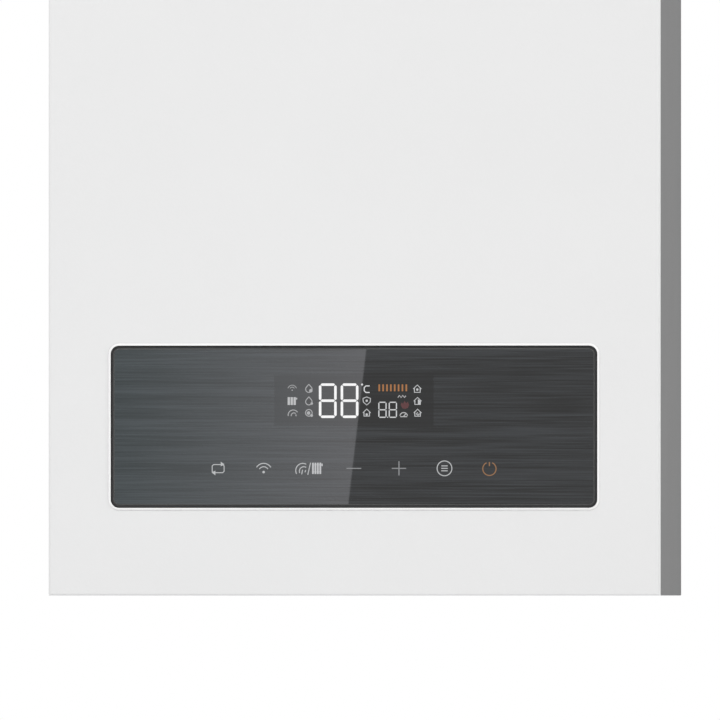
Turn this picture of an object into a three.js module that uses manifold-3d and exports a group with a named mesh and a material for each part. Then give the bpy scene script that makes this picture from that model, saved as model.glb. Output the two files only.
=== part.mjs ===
import * as THREE from 'three';
import { mergeVertices } from 'three/addons/utils/BufferGeometryUtils.js';
import Module from 'manifold-3d';

// Wall-hung central heating boiler, in millimetres. Seen from the front, X runs to the right,
// Y runs to the wall and Z runs up. The boiler is drawn with the lower rim of its casing at
// height zero and the wall at depth zero, and is then lowered, so that the origin of the whole
// is the middle of the wall bracket's back face.

const wasm = await Module();
wasm.setup();

// Gaps and cuts shared by all pieces
const fitGap = 0.3;
const overrun = 4;

// Casing
const casingWidth = 400;
const fanHeadroom = 29.8;
const coverSheet = 1;
const coverReturn = 15;
const coverFold = 2.5;
const sideSheet = 1.2;
const sideInset = 0.5;
const sideFlange = 8;
const sideRearFlange = 15;
const wallSpace = 12;
const rearSheet = 1.2;
const topSheet = 1.2;
const bottomSheet = 1.5;
const skirtHeight = 46.5;
const bottomFlange = 14;

// Lugs at the top that carry the cover, and the rail at the bottom that it is screwed to
const lugInset = 60;
const lugWidth = 30;
const lugSheet = 1.5;
const lugReach = 10;
const lugFoot = 6;
const railHeight = 21.8;
const railSheet = 1.2;
const railDepth = 22;
const railMargin = 8;
const coverScrewInset = 50;
const coverScrewRadius = 2.2;
const coverScrewLength = 12;
const coverScrewHeadRadius = 6;
const coverScrewHeadHeight = 3;
const coverScrewSetback = 14;
const coverTabWidth = 24;
const coverTabSheet = 1.5;
const coverTabLength = 20;

// Wall bracket and the slots that hang on it
const bracketInset = 50;
const bracketHeight = 40;
const bracketSheet = 2.5;
const bracketBelowTop = 70;
const hookInset = 50;
const hookWidth = 44;
const hookFoot = 10;
const hookLip = 12;
const hookSlack = 4.3;
const hookSideSlack = 3;
const hangTravel = 30;
const hangSlack = 2;
const wallHoleInset = 30;
const wallHoleRadius = 3.5;

// Window in the cover, the ring in it and the control unit behind it
const windowInset = 40.75;
const windowHeight = 106;
const windowAboveRim = 57.3;
const windowRadius = 5.4;
const windowGap = 1.2;
const ringWall = 0.6;
const ringLip = 1.1;
const ringRise = 0.6;
const ringTail = 0.2;
const glassThickness = 4;
const hingeSetback = 5.6;
const hingePinRadius = 1.2;
const hingePinLength = 3.6;
const hingeEarSheet = 1.5;
const hingeEarMargin = 4;
const hingeEarGap = 0.8;
const hingeEarFoot = 22;
const swingGap = 0.35;
const trayDepth = 7;
const trayWall = 2;
const trayFloor = 1.5;
const cableWindowWidth = 60;
const cableWindowHeight = 24;
const postRadius = 3;
const boardThickness = 1.6;
const displayBoardInset = 13;
const displayBoardSpace = 0.7;
const boxInset = 8;
const boxDepth = 38;
const boxWall = 2;
const boxFootRoom = 2;
const mainBoardMargin = 8;
const mainPostLength = 4;
const transformerSize = 28;
const relaySize = 14;
const relayCount = 4;
const capacitorRadius = 7;
const socketRowHeight = 9;

// Air chamber with its lid
const chamberSetback = 30;
const chamberAbovePlates = 79;
const chamberSheet = 1;
const chamberFlange = 20;
const sealMargin = 8;
const sealWidth = 12;
const sealThickness = 3;
const lidSheet = 1.2;
const sightRadius = 10;
const sightRim = 3;
const sightThickness = 2;
const sightSide = 60;

// Flue
const flueInnerRadius = 30;
const flueOuterRadius = 50;
const flueSheet = 1.2;
const flueHeight = 55;
const flueFlangeRadius = 64;
const flueFlangeSheet = 2;
const flueGasketThickness = 3;
const flueSpacerSheet = 2;
const flueSpacerHeight = 10;
const flueSpacerCount = 3;

// Firebox, burner and gas rail
const burnerSideRoom = 15;
const burnerFrontRoom = 13;
const fireboxFrontSpace = 35;
const fireboxRearSpace = 15;
const fireboxHeight = 154;
const fireboxSheet = 1;
const airWindowHeight = 38;
const airWindowMargin = 12;
const insulationThickness = 10;
const insulationRise = 8;
const burnerDepth = 104;
const burnerRailWidth = 8;
const burnerRailHeight = 14;
const burnerHeight = 32;
const bladeCount = 10;
const bladeThickness = 8;
const bladeOverlap = 4;
const gasRailSize = 12;
const gasRailReach = 13;
const nozzleRadius = 2.5;
const electrodeHeight = 58;
const electrodeSpacing = 40;
const electrodeRadius = 3.5;
const electrodeReach = 30;
const electrodeTail = 13;
const electrodeTipRadius = 1;
const electrodeTipLength = 18;
const electrodeFlangeSize = 16;
const electrodeFlangeSheet = 1.5;

// Heat exchanger over the firebox
const exchangerHeight = 60;
const exchangerSheet = 1.5;
const finCount = 11;
const finSheet = 1;
const finMargin = 6;
const waterWayCount = 3;
const waterWayWidth = 12;
const waterWayHeight = 18;
const headerLength = 12;
const headerHeight = 30;
const headerInset = 10;
const exchangerPortRadius = 9;
const exchangerPortLength = 8;
const thermostatRadius = 5.5;
const thermostatHeight = 9;
const thermostatInset = 30;

// Flue hood and fan
const hoodHeight = 35;
const hoodSkirt = 8;
const hoodTopWidth = 124;
const hoodSheet = 1.2;
const intakeDepth = 27;
const fanDrumRadius = 52;
const fanDrumDepth = 44;
const fanSheet = 1.2;
const fanInletRadius = 22;
const fanInletMargin = 3;
const fanMotorRadius = 27;
const fanMotorLength = 45;
const fanOutletRise = 2;
const fanOutletHeight = 44;
const fanWheelRadius = 42;
const fanWheelMargin = 3;
const fanBladeCount = 16;
const fanBladeLength = 12;
const fanBladeSheet = 1.2;
const fanDiscSheet = 2;
const fanShaftRadius = 4;
const fanShaftLength = 34;

// Air pressure switch and its tube
const switchRadius = 22;
const switchThickness = 18;
const switchInset = 68;
const switchNippleRadius = 3;
const switchNippleLength = 8;
const hoseRadius = 3.5;
const hoseBend = 12;

// Connections under the boiler
const connectionFromWall = 95;
const connectionEnd = 6;
const wideThreadRadius = 13.2;
const wideBoreRadius = 9.5;
const smallThreadRadius = 10.4;
const smallBoreRadius = 7;
const connectionBoreDepth = 30;
const connectionFlangeRim = 5;
const connectionFlangeHeight = 4;
const plateHoleGap = 1;
const pipeRadius = 9;
const pipeBend = 18;
const pipeOut = 20;
const pipeBelowChamber = 45;
const portRoom = 25;
const portRise = 50;

// Flow group on the left, with the diverter valve
const valveRadius = 22;
const valvePortLength = 10;
const valvePortRadius = 12;
const stemRoom = 19;
const neckRadius = 14;
const neckReach = 37;
const actuatorRadius = 20;
const actuatorLength = 52;
const stemRadius = 4.7;
const stemLength = 30;
const stemTravel = 8;
const stemInside = 12;
const reliefRoom = 20;
const reliefRadius = 12;
const reliefBossReach = 27;
const reliefLength = 28;
const reliefStemRadius = 3;
const reliefStemLength = 12;
const reliefKnobRadius = 14;
const reliefKnobLength = 20;
const reliefDrainRadius = 6;
const reliefDrainEnd = 20;
const sensorHeight = 112;
const sensorBossReach = 26;
const sensorRadius = 9;
const sensorLength = 22;
const sensorPlugWidth = 10;

// Plate heat exchanger for the hot water
const plateInset = 35;
const plateDepth = 75;
const plateCount = 10;
const platePitch = 6;
const plateSheet = 2;
const plateEdge = 3;
const platePortRadius = 8;
const platePortInset = 9;
const platePortSetForward = 13;
const armWidth = 24;
const armHeight = 25;

// Return group on the right, with the pump and the air vent
const pumpHeight = 130;
const pumpRear = 47;
const pumpFront = 30;
const pumpPortRadius = 12;
const pumpMotorStep = 3;
const pumpMotorLength = 80;
const impellerRoomDepth = 24;
const impellerGap = 3;
const impellerThickness = 16;
const impellerMargin = 3;
const impellerVaneCount = 6;
const impellerVaneSheet = 3;
const rotorShaftRadius = 6;
const rotorShaftLength = 62;
const ventSide = 18;
const ventForward = 18;
const ventBossRise = 3;
const ventBossRadius = 8;
const ventRadius = 12;
const ventHeight = 36;
const ventNippleRadius = 3;
const ventNippleHeight = 6;
const ventCapRadius = 7;
const ventCapHeight = 9;
const hoseBossSide = 20;
const hoseBossRadius = 9;
const hoseBossRise = 10;

// Cold water inlet with the flow sensor, and the hot water pipe
const flowSensorRadius = 16;
const flowSensorBottom = 60;
const flowSensorTop = 122;
const waterPipeRadius = 8;
const turbineRadius = 6.7;
const turbineBottom = 84;
const turbineHeight = 14;
const turbineHubRadius = 2.5;
const turbineHubEnd = 1;
const turbineBladeCount = 5;
const turbineBladeSheet = 1.4;

// Gas valve and gas pipe
const gasValveDepth = 100;
const gasValveBottom = 62;
const gasValveHeight = 60;
const gasValveRear = 30;
const gasOutletRadius = 11;
const gasOutletHeight = 10;
const gasOutletInset = 20;
const gasPipeRadius = 8;
const gasPipeTurn = 50;
const coilRadius = 14;
const coilLength = 34;
const coilHeight = 92;

// Expansion vessel and its hose
const vesselRadius = 160;
const vesselThickness = 85;
const vesselAbovePlates = 34;
const vesselGap = 4.7;
const vesselRound = 26;
const vesselSheet = 1.5;
const vesselNippleRadius = 8;
const vesselNippleLength = 6;
const vesselNippleWall = 4;
const vesselHoseRadius = 7;
const vesselHoseDrop = 12;

// Fill valve and cable gland in the bottom plate
const fillValveFromWall = 150;
const fillFlangeRadius = 13;
const fillFlangeHeight = 14;
const fillNeckRadius = 8;
const fillNeckEnd = 33;
const fillStemRadius = 4;
const fillStemEnd = 20;
const fillKnobRadius = 13;
const fillKnobBottom = 14;
const glandFromWall = 200;
const glandNutRadius = 12;
const glandNeckRadius = 8;
const glandBottom = 30;
const glandTopHeight = 5;
const glandBoreRadius = 4;

// Shares of the casing's width
const pitchShare = 0.1625;
const burnerShare = 0.5;
const pumpShare = 0.1125;
const gasValveShare = 0.16;

// Shares of the piece or the pitch that carries them
const betweenShare = 1.5;
const impellerRoomShare = 0.8;
const transformerDepthShare = 0.7;
const relayPitchShare = 1.5;
const throatDropShare = 0.4;
const hoseBendShare = 0.7;

// Sides of round pieces and steps of bends
const roundSides = 20;
const pipeSides = 10;
const drumSides = 32;
const nutSides = 6;
const bendSteps = 3;
const arcSteps = 2;

// Depths, from the wall forward: bracket, rear frame, vessel, air chamber, cover
const rearPlateBack = -wallSpace;
const rearPlateFront = rearPlateBack - rearSheet;
const vesselBack = rearPlateFront - hookSlack - bracketSheet - fitGap;
const vesselY = vesselBack - vesselThickness / 2;
const fireboxDepth = burnerDepth + 2 * burnerFrontRoom;
const chamberBack = vesselBack - vesselThickness - vesselGap;
const flueY = chamberBack - fireboxRearSpace - fireboxDepth / 2;
const chamberFront = flueY - fireboxDepth / 2 - fireboxFrontSpace;
const frontFace = chamberFront - chamberSetback;
const coverBack = frontFace + coverSheet;
const returnBack = frontFace + coverReturn;
const sideFront = returnBack + fitGap;
const plateFront = sideFront + sideSheet + fitGap;
const screwY = frontFace + coverScrewSetback;
const connectionY = -connectionFromWall;
const pumpFrontY = connectionY - pumpFront;
const pumpRearY = connectionY + pumpRear;
const plateBack = connectionY + plateDepth / 2 + platePortSetForward;
const plateY = plateBack - plateDepth / 2;
const armY = plateY + platePortSetForward;

// Widths and places across, from the casing's width
const sideOuter = casingWidth / 2 - sideInset;
const sideInner = sideOuter - sideSheet;
const insideHalf = sideInner - fitGap;
const screwX = casingWidth / 2 - coverScrewInset;
const bracketWidth = casingWidth - 2 * bracketInset;
const hookX = bracketWidth / 2 - hookInset;
const connectionPitch = casingWidth * pitchShare;
const flowX = -2 * connectionPitch;
const hotX = -connectionPitch;
const coldX = connectionPitch;
const returnX = 2 * connectionPitch;
const betweenX = connectionPitch * betweenShare;
const gasValveWidth = casingWidth * gasValveShare;
const pumpRadius = casingWidth * pumpShare;
const pumpMotorRadius = pumpRadius - pumpMotorStep;
const impellerRoomRadius = pumpRadius * impellerRoomShare;
const impellerRadius = impellerRoomRadius - impellerGap;
const plateWidth = 2 * (returnX - plateInset);
const platePortX = plateWidth / 2 - platePortInset;
const armReach = returnX - platePortX + platePortRadius;
const burnerWidth = casingWidth * burnerShare;
const fireboxWidth = burnerWidth + 2 * burnerSideRoom;
const headerEnd = fireboxWidth / 2 + headerLength;
const exchangerPortEnd = headerEnd + exchangerPortLength;
const switchX = insideHalf - switchInset;

// Heights, from the rim up: bottom plate, connections, plate exchanger, vessel
const bottomTop = skirtHeight + bottomSheet;
const railTop = railHeight + railSheet;
const tabTop = railHeight - fitGap;
const screwHeadTop = tabTop - coverTabSheet - fitGap;
const flangeBottom = bottomTop + fitGap;
const flangeTop = flangeBottom + connectionFlangeHeight;
const reliefHeight = bottomTop + reliefRoom + reliefKnobRadius;
const stemHeight = reliefHeight + reliefKnobRadius + stemRoom + actuatorRadius;
const pumpTop = pumpHeight + pumpRadius;
const ventBossTop = pumpTop + ventBossRise;
const hoseBossTop = pumpTop + hoseBossRise;
const portTop = pumpTop + portRoom;
const valveTop = portTop - valvePortLength;
const platePortBottom = valveTop;
const armTop = platePortBottom - fitGap;
const plateBottom = portTop;
const plateTop = plateBottom + (plateCount - 1) * platePitch + plateSheet;
const vesselHeight = plateTop + vesselAbovePlates + vesselRadius;

// Heights, further up: firebox, heat exchanger, hood and fan on the chamber's floor, top
const chamberFloor = plateTop + chamberAbovePlates;
const floorTop = chamberFloor + chamberSheet + fitGap;
const burnerTop = floorTop + burnerHeight;
const fireboxTop = floorTop + fireboxHeight;
const exchangerBottom = fireboxTop + fitGap;
const exchangerTop = exchangerBottom + exchangerHeight;
const exchangerMiddle = exchangerBottom + exchangerHeight / 2;
const hoodBottom = exchangerTop + fitGap;
const hoodTop = hoodBottom + hoodHeight;
const fanZ = hoodTop + fitGap + fanDrumRadius;
const casingHeight = fanZ + fanDrumRadius + fanHeadroom;
const topUnder = casingHeight - topSheet;
const insideTop = topUnder - fitGap;
const bracketAboveRim = casingHeight - bracketBelowTop;

// Planes of the control unit
const windowWidth = casingWidth - 2 * windowInset;
const windowBottom = windowAboveRim;
const windowTop = windowAboveRim + windowHeight;
const glassWidth = windowWidth - 2 * windowGap;
const glassHeight = windowHeight - 2 * windowGap;
const glassRadius = windowRadius - windowGap;
const hingeY = frontFace + hingeSetback;
const freeGap = windowGap - swingGap;
const hingeRise = (hingeSetback ** 2 - freeGap ** 2) / (2 * freeGap);
const hingeZ = windowBottom + windowGap + hingeRise;
const swingRadius = windowTop - swingGap - hingeZ;
const glassFront = -hingeSetback;
const trayFront = glassFront + glassThickness + fitGap;
const trayBack = trayFront + trayDepth;
const glassMiddle = -hingeRise + glassHeight / 2;
const displayBoardWidth = glassWidth - 2 * (trayWall + displayBoardInset);
const displayBoardHeight = glassHeight - 2 * (trayWall + displayBoardInset);
const boxWidth = glassWidth - 2 * boxInset;
const boxFront = trayBack + fitGap;
const boxBack = boxFront + boxDepth;
const boxTop = Math.sqrt(swingRadius ** 2 - boxBack ** 2);
const boxBottom = boxFootRoom - hingeRise;

// Places of the fan, the gas rail and the gas outlet
const fanOutletRadius = flueInnerRadius - flueSheet - fitGap;
const fanX = fanOutletRadius - fanDrumRadius;
const fanHalfDepth = fanDrumDepth / 2;
const fanOutletStart = fanMotorRadius + fanOutletRise;
const burnerFront = flueY - burnerDepth / 2;
const gasRailMiddle = burnerTop - gasRailSize / 2;
const gasRailBack = burnerFront - fitGap - gasRailReach;
const gasRailFront = gasRailBack - gasRailSize;
const gasRailY = gasRailBack - gasRailSize / 2;

// Colour, roughness and metalness of each kind of surface
const finishes = {
  whiteCoat: [0xe8e8e8, 0.45, 0],
  greyCoat: [0x888888, 0.55, 0],
  whitePlastic: [0xf0f0ee, 0.4, 0],
  greyPlastic: [0x5a5c5e, 0.6, 0],
  blackPlastic: [0x232425, 0.55, 0],
  redPlastic: [0xa8201c, 0.5, 0],
  bluePlastic: [0x2a5c94, 0.5, 0],
  darkGlass: [0x4b4d4f, 0.12, 0],
  clearGlass: [0xc8d4d2, 0.1, 0],
  zincSteel: [0xb4b7ba, 0.42, 1],
  steel: [0x9da0a3, 0.35, 1],
  aluminium: [0xc2c5c8, 0.38, 1],
  castIron: [0x3a3d40, 0.65, 1],
  brass: [0xc29a50, 0.35, 1],
  copper: [0xb4693f, 0.35, 1],
  redPaint: [0xa8302a, 0.5, 0],
  ceramic: [0xe9e5da, 0.6, 0],
  fibre: [0xe6e2d8, 0.95, 0],
  rubber: [0x1b1b1c, 0.85, 0],
  silicone: [0xb9c4c9, 0.6, 0],
  boardGreen: [0x1f5a3a, 0.5, 0],
};

// Turns a closed geometry into a solid that can be joined and cut
function solid(geometry) {
  const bare = geometry.clone();
  bare.deleteAttribute('normal');
  bare.deleteAttribute('uv');
  const merged = mergeVertices(bare);
  const corners = merged.index.array;
  const faces = [];
  for (let i = 0; i < corners.length; i += 3) {
    const [a, b, c] = [corners[i], corners[i + 1], corners[i + 2]];
    if (a !== b && b !== c && c !== a) {
      faces.push(a, b, c);
    }
  }
  const vertProperties = new Float32Array(merged.attributes.position.array);
  const triVerts = new Uint32Array(faces);
  return new wasm.Manifold(new wasm.Mesh({ numProp: 3, vertProperties, triVerts }));
}

// Makes the named mesh of one piece from its solid
function piece(name, shape, finish) {
  const { vertProperties, triVerts } = shape.getMesh();
  const geometry = new THREE.BufferGeometry();
  geometry.setAttribute('position', new THREE.BufferAttribute(vertProperties, 3));
  geometry.setIndex(new THREE.BufferAttribute(triVerts, 1));
  const [color, roughness, metalness] = finishes[finish];
  const material = new THREE.MeshStandardMaterial({ color, roughness, metalness, flatShading: true });
  const mesh = new THREE.Mesh(geometry, material);
  mesh.name = name;
  return mesh;
}

function joined(shapes) {
  return shapes.reduce((whole, shape) => whole.add(shape));
}

// The stretch of a given length on both sides of a middle
function about(middle, length) {
  return [middle - length / 2, middle + length / 2];
}

// A stretch that runs past another one at both ends
function past(stretch) {
  return [stretch[0] - overrun, stretch[1] + overrun];
}

function blockGeometry(x, y, z) {
  const geometry = new THREE.BoxGeometry(x[1] - x[0], y[1] - y[0], z[1] - z[0]);
  geometry.translate((x[0] + x[1]) / 2, (y[0] + y[1]) / 2, (z[0] + z[1]) / 2);
  return geometry;
}

function block(x, y, z) {
  return solid(blockGeometry(x, y, z));
}

function rodX(radius, x, y, z, sides = roundSides) {
  const geometry = new THREE.CylinderGeometry(radius, radius, x[1] - x[0], sides);
  geometry.rotateZ(Math.PI / 2);
  geometry.translate((x[0] + x[1]) / 2, y, z);
  return solid(geometry);
}

function rodY(radius, x, y, z, sides = roundSides) {
  const geometry = new THREE.CylinderGeometry(radius, radius, y[1] - y[0], sides);
  geometry.translate(x, (y[0] + y[1]) / 2, z);
  return solid(geometry);
}

function rodZ(radius, x, y, z, sides = roundSides) {
  const geometry = new THREE.CylinderGeometry(radius, radius, z[1] - z[0], sides);
  geometry.rotateX(Math.PI / 2);
  geometry.translate(x, y, (z[0] + z[1]) / 2);
  return solid(geometry);
}

function outline(points) {
  return new THREE.Shape(points.map(([across, along]) => new THREE.Vector2(across, along)));
}

function roundedRect(width, height, radius, middle = 0) {
  const x = width / 2 - radius;
  const y = height / 2 - radius;
  const shape = new THREE.Shape();
  shape.absarc(x, middle + y, radius, 0, Math.PI / 2);
  shape.absarc(-x, middle + y, radius, Math.PI / 2, Math.PI);
  shape.absarc(-x, middle - y, radius, Math.PI, 1.5 * Math.PI);
  shape.absarc(x, middle - y, radius, 1.5 * Math.PI, 2 * Math.PI);
  return shape;
}

// A plan outline in X and Y, raised over a stretch of height
function raised(shape, z) {
  const geometry = new THREE.ExtrudeGeometry(shape, {
    depth: z[1] - z[0],
    bevelEnabled: false,
    curveSegments: arcSteps,
  });
  geometry.translate(0, 0, z[0]);
  return solid(geometry);
}

// A front outline in X and Z, carried over a stretch of depth
function upright(shape, y) {
  const geometry = new THREE.ExtrudeGeometry(shape, {
    depth: y[1] - y[0],
    bevelEnabled: false,
    curveSegments: arcSteps,
  });
  geometry.rotateX(Math.PI / 2);
  geometry.translate(0, y[1], 0);
  return solid(geometry);
}

// A side outline in Y and Z, carried over a stretch of width
function sideways(shape, x) {
  const geometry = new THREE.ExtrudeGeometry(shape, {
    depth: x[1] - x[0],
    bevelEnabled: false,
    curveSegments: arcSteps,
  });
  geometry.rotateZ(Math.PI / 2);
  geometry.rotateY(Math.PI / 2);
  geometry.translate(x[0], 0, 0);
  return solid(geometry);
}

// A round body about an axis along Y, from pairs of radius and depth
function turnedRound(profile, sides = roundSides) {
  const points = profile.map(([radius, depth]) => new THREE.Vector2(radius, depth));
  return new THREE.LatheGeometry(points, sides);
}

// A route of straight runs with a round bend at each inner corner
class BentPath extends THREE.Curve {
  constructor(corners, bendRadius) {
    super();
    const points = corners.map(([x, y, z]) => new THREE.Vector3(x, y, z));
    this.stations = [];
    for (let i = 0; i < points.length; i += 1) {
      if (i === 0 || i === points.length - 1) {
        const [from, to] = i === 0 ? [points[0], points[1]] : [points[i - 1], points[i]];
        const tangent = to.clone().sub(from).normalize();
        this.stations.push({ point: points[i], tangent });
      } else {
        this.addBend(points[i - 1], points[i], points[i + 1], bendRadius);
      }
    }
  }

  addBend(before, corner, after, radius) {
    const incoming = corner.clone().sub(before).normalize();
    const outgoing = after.clone().sub(corner).normalize();
    const angle = incoming.angleTo(outgoing);
    const setback = radius * Math.tan(angle / 2);
    const side = outgoing.clone().addScaledVector(incoming, -Math.cos(angle)).normalize();
    const start = corner.clone().addScaledVector(incoming, -setback);
    for (let step = 0; step <= bendSteps; step += 1) {
      const turn = (angle * step) / bendSteps;
      const point = start.clone().addScaledVector(incoming, radius * Math.sin(turn));
      point.addScaledVector(side, radius * (1 - Math.cos(turn)));
      const tangent = incoming.clone().multiplyScalar(Math.cos(turn));
      tangent.addScaledVector(side, Math.sin(turn));
      this.stations.push({ point, tangent });
    }
  }

  getSpacedPoints() {
    return this.stations.map((station) => station.point.clone());
  }

  getTangentAt(share) {
    const index = Math.round(share * (this.stations.length - 1));
    return this.stations[index].tangent.clone();
  }
}

function bentRod(radius, corners, bendRadius, sides = pipeSides) {
  const path = new BentPath(corners, bendRadius);
  const section = new THREE.Shape();
  for (let i = 0; i < sides; i += 1) {
    const angle = (2 * Math.PI * i) / sides;
    const step = i === 0 ? 'moveTo' : 'lineTo';
    section[step](radius * Math.cos(angle), radius * Math.sin(angle));
  }
  const steps = path.stations.length - 1;
  return solid(new THREE.ExtrudeGeometry(section, { steps, extrudePath: path }));
}

function groupOf(meshes) {
  const group = new THREE.Group();
  group.add(...meshes);
  return group;
}

// The bracket is screwed to the wall, and its two hooks carry the boiler
function wallBracket() {
  const half = bracketHeight / 2;
  const tongueTop = hookFoot + bracketSheet - half;
  const lipBack = rearPlateFront - hookSlack;
  const lipFront = lipBack - bracketSheet;
  let bracket = block(about(0, bracketWidth), [-bracketSheet, 0], [-half, half]);
  for (const side of [-1, 1]) {
    const across = about(side * hookX, hookWidth);
    const tongue = block(across, [lipFront, -bracketSheet / 2], [tongueTop - bracketSheet, tongueTop]);
    const lip = block(across, [lipFront, lipBack], [tongueTop - bracketSheet, tongueTop + hookLip]);
    const holeX = side * (bracketWidth / 2 - wallHoleInset);
    const hole = rodY(wallHoleRadius, holeX, past([-bracketSheet, 0]), 0);
    bracket = bracket.add(tongue).add(lip).subtract(hole);
  }
  return piece('wall_bracket', bracket, 'zincSteel');
}

// The rear frame hangs on the hooks by its two slots
function rearFrame() {
  const half = bracketHeight / 2;
  const tongueTop = bracketAboveRim + hookFoot + bracketSheet - half;
  const slotBottom = tongueTop - bracketSheet - hangTravel - hangSlack;
  const plate = [rearPlateFront, rearPlateBack];
  let frame = block([-insideHalf, insideHalf], plate, [skirtHeight, insideTop]);
  for (const side of [-1, 1]) {
    const across = about(side * hookX, hookWidth + 2 * hookSideSlack);
    frame = frame.subtract(block(across, past(plate), [slotBottom, tongueTop + fitGap]));
  }
  return piece('rear_frame', frame, 'zincSteel');
}

function sidePanel(name, side) {
  const flangeFront = rearPlateBack + fitGap;
  const points = [
    [sideOuter, sideFront],
    [sideOuter, -fitGap],
    [sideInner, -fitGap],
    [sideInner, flangeFront + sideSheet],
    [sideOuter - sideRearFlange, flangeFront + sideSheet],
    [sideOuter - sideRearFlange, flangeFront],
    [sideInner, flangeFront],
    [sideInner, sideFront + sideSheet],
    [sideOuter - sideFlange, sideFront + sideSheet],
    [sideOuter - sideFlange, sideFront],
  ];
  const plan = outline(points.map(([x, y]) => [side * x, y]));
  return piece(name, raised(plan, [0, insideTop]), 'greyCoat');
}

// The top panel has the flue hole, and two lugs that the cover rests on
function topPanel() {
  const height = [topUnder, casingHeight];
  const lugTop = casingHeight - coverSheet - fitGap;
  const lugBottom = lugTop - lugSheet;
  let panel = block([-sideOuter, sideOuter], [sideFront, -fitGap], height);
  panel = panel.subtract(rodZ(flueOuterRadius + fitGap, 0, flueY, past(height), drumSides));
  for (const side of [-1, 1]) {
    const across = about(side * (casingWidth / 2 - lugInset), lugWidth);
    const foot = [sideFront + fitGap, sideFront + lugFoot];
    panel = panel.add(block(across, [sideFront - lugReach, foot[1]], [lugBottom, lugTop]));
    panel = panel.add(block(across, foot, [lugBottom, topUnder + topSheet / 2]));
  }
  return piece('top_panel', panel, 'greyCoat');
}

// Places and radii of the holes that the bottom plate has for what passes through it
function bottomHoles() {
  return [
    [flowX, connectionY, wideThreadRadius],
    [hotX, connectionY, smallThreadRadius],
    [0, connectionY, wideThreadRadius],
    [coldX, connectionY, smallThreadRadius],
    [returnX, connectionY, wideThreadRadius],
    [flowX, connectionY - reliefBossReach - fitGap - reliefLength / 2, reliefDrainRadius],
    [betweenX, -fillValveFromWall, fillNeckRadius],
    [-betweenX, -glandFromWall, glandNeckRadius],
  ];
}

function bottomPlate() {
  const height = [skirtHeight, bottomTop];
  const rear = rearPlateFront - fitGap;
  const flange = [skirtHeight - bottomFlange, skirtHeight + bottomSheet / 2];
  let plate = block([-insideHalf, insideHalf], [plateFront, rear], height);
  plate = plate.add(block([-insideHalf, insideHalf], [plateFront, plateFront + bottomSheet], flange));
  plate = plate.add(block([-insideHalf, insideHalf], [rear - bottomSheet, rear], flange));
  for (const [x, y, radius] of bottomHoles()) {
    plate = plate.subtract(rodZ(radius + plateHoleGap, x, y, past(height)));
  }
  for (const side of [-1, 1]) {
    plate = plate.add(hingeEar(side));
  }
  return piece('bottom_plate', plate, 'zincSteel');
}

// An ear stands up from the bottom plate and reaches forward to the hinge of the control unit
function hingeEar(side) {
  const tip = coverBack + hingeEarGap;
  const foot = bottomTop - bottomSheet / 2;
  const profile = outline([
    [tip, hingeZ - hingeEarMargin],
    [tip, hingeZ + hingeEarMargin],
    [plateFront, hingeZ + hingeEarMargin],
    [plateFront + hingeEarFoot, foot],
    [plateFront + bottomSheet / 2, foot],
  ]);
  const inner = windowWidth / 2 + fitGap;
  const across = [inner, inner + hingeEarSheet].map((x) => side * x).sort((a, b) => a - b);
  const hole = rodX(hingePinRadius + fitGap, past(across), hingeY, hingeZ, pipeSides);
  return sideways(profile, across).subtract(hole);
}

// The rail hangs under the bottom plate between the side panels and holds the cover screws
function coverRail() {
  const half = sideOuter - sideFlange - fitGap;
  const front = screwY - railMargin;
  const back = front + railDepth;
  const shelf = [railHeight, railTop];
  let rail = block([-half, half], [front, back], shelf);
  rail = rail.add(block([-half, half], [back - railSheet, back], [railHeight, skirtHeight - fitGap]));
  for (const side of [-1, 1]) {
    const x = side * screwX;
    rail = rail.subtract(rodZ(coverScrewRadius + fitGap, x, screwY, past(shelf), pipeSides));
  }
  return piece('cover_rail', rail, 'zincSteel');
}

function coverScrew(name, side) {
  const x = side * screwX;
  const headBottom = screwHeadTop - coverScrewHeadHeight;
  const head = rodZ(coverScrewHeadRadius, x, screwY, [headBottom, screwHeadTop]);
  const shank = rodZ(coverScrewRadius, x, screwY, [headBottom, headBottom + coverScrewLength], pipeSides);
  return piece(name, head.add(shank), 'zincSteel');
}

// Plan of the cover, or of its hollow, with its two front folds rounded
function coverPlan(inset) {
  const half = casingWidth / 2 - inset;
  const front = frontFace + inset;
  const back = inset === 0 ? returnBack : returnBack + overrun;
  const fold = coverFold - inset;
  const shape = new THREE.Shape();
  shape.moveTo(half, back);
  shape.lineTo(-half, back);
  shape.absarc(-half + fold, front + fold, fold, Math.PI, 1.5 * Math.PI);
  shape.absarc(half - fold, front + fold, fold, 1.5 * Math.PI, 2 * Math.PI);
  return shape;
}

// The cover is a folded pan with a window for the control unit. Two tabs inside it are open to
// the rear, so the cover comes straight forward when the screws under them are loosened.
function frontCover() {
  const middle = windowBottom + windowHeight / 2;
  const edge = ringWall + fitGap;
  const opening = roundedRect(windowWidth + 2 * edge, windowHeight + 2 * edge, windowRadius + edge, middle);
  let cover = raised(coverPlan(0), [0, casingHeight]);
  cover = cover.subtract(raised(coverPlan(coverSheet), [coverSheet, casingHeight - coverSheet]));
  cover = cover.subtract(upright(opening, past([frontFace, coverBack])));
  for (const side of [-1, 1]) {
    const x = side * screwX;
    const height = [tabTop - coverTabSheet, tabTop];
    const depth = [frontFace + coverSheet / 2, frontFace + coverTabLength];
    const slotHalf = coverScrewRadius + fitGap;
    const slot = block([x - slotHalf, x + slotHalf], [screwY - slotHalf, depth[1] + overrun], past(height));
    cover = cover.add(block(about(x, coverTabWidth), depth, height)).subtract(slot);
  }
  return piece('front_cover', cover, 'whiteCoat');
}

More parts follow.
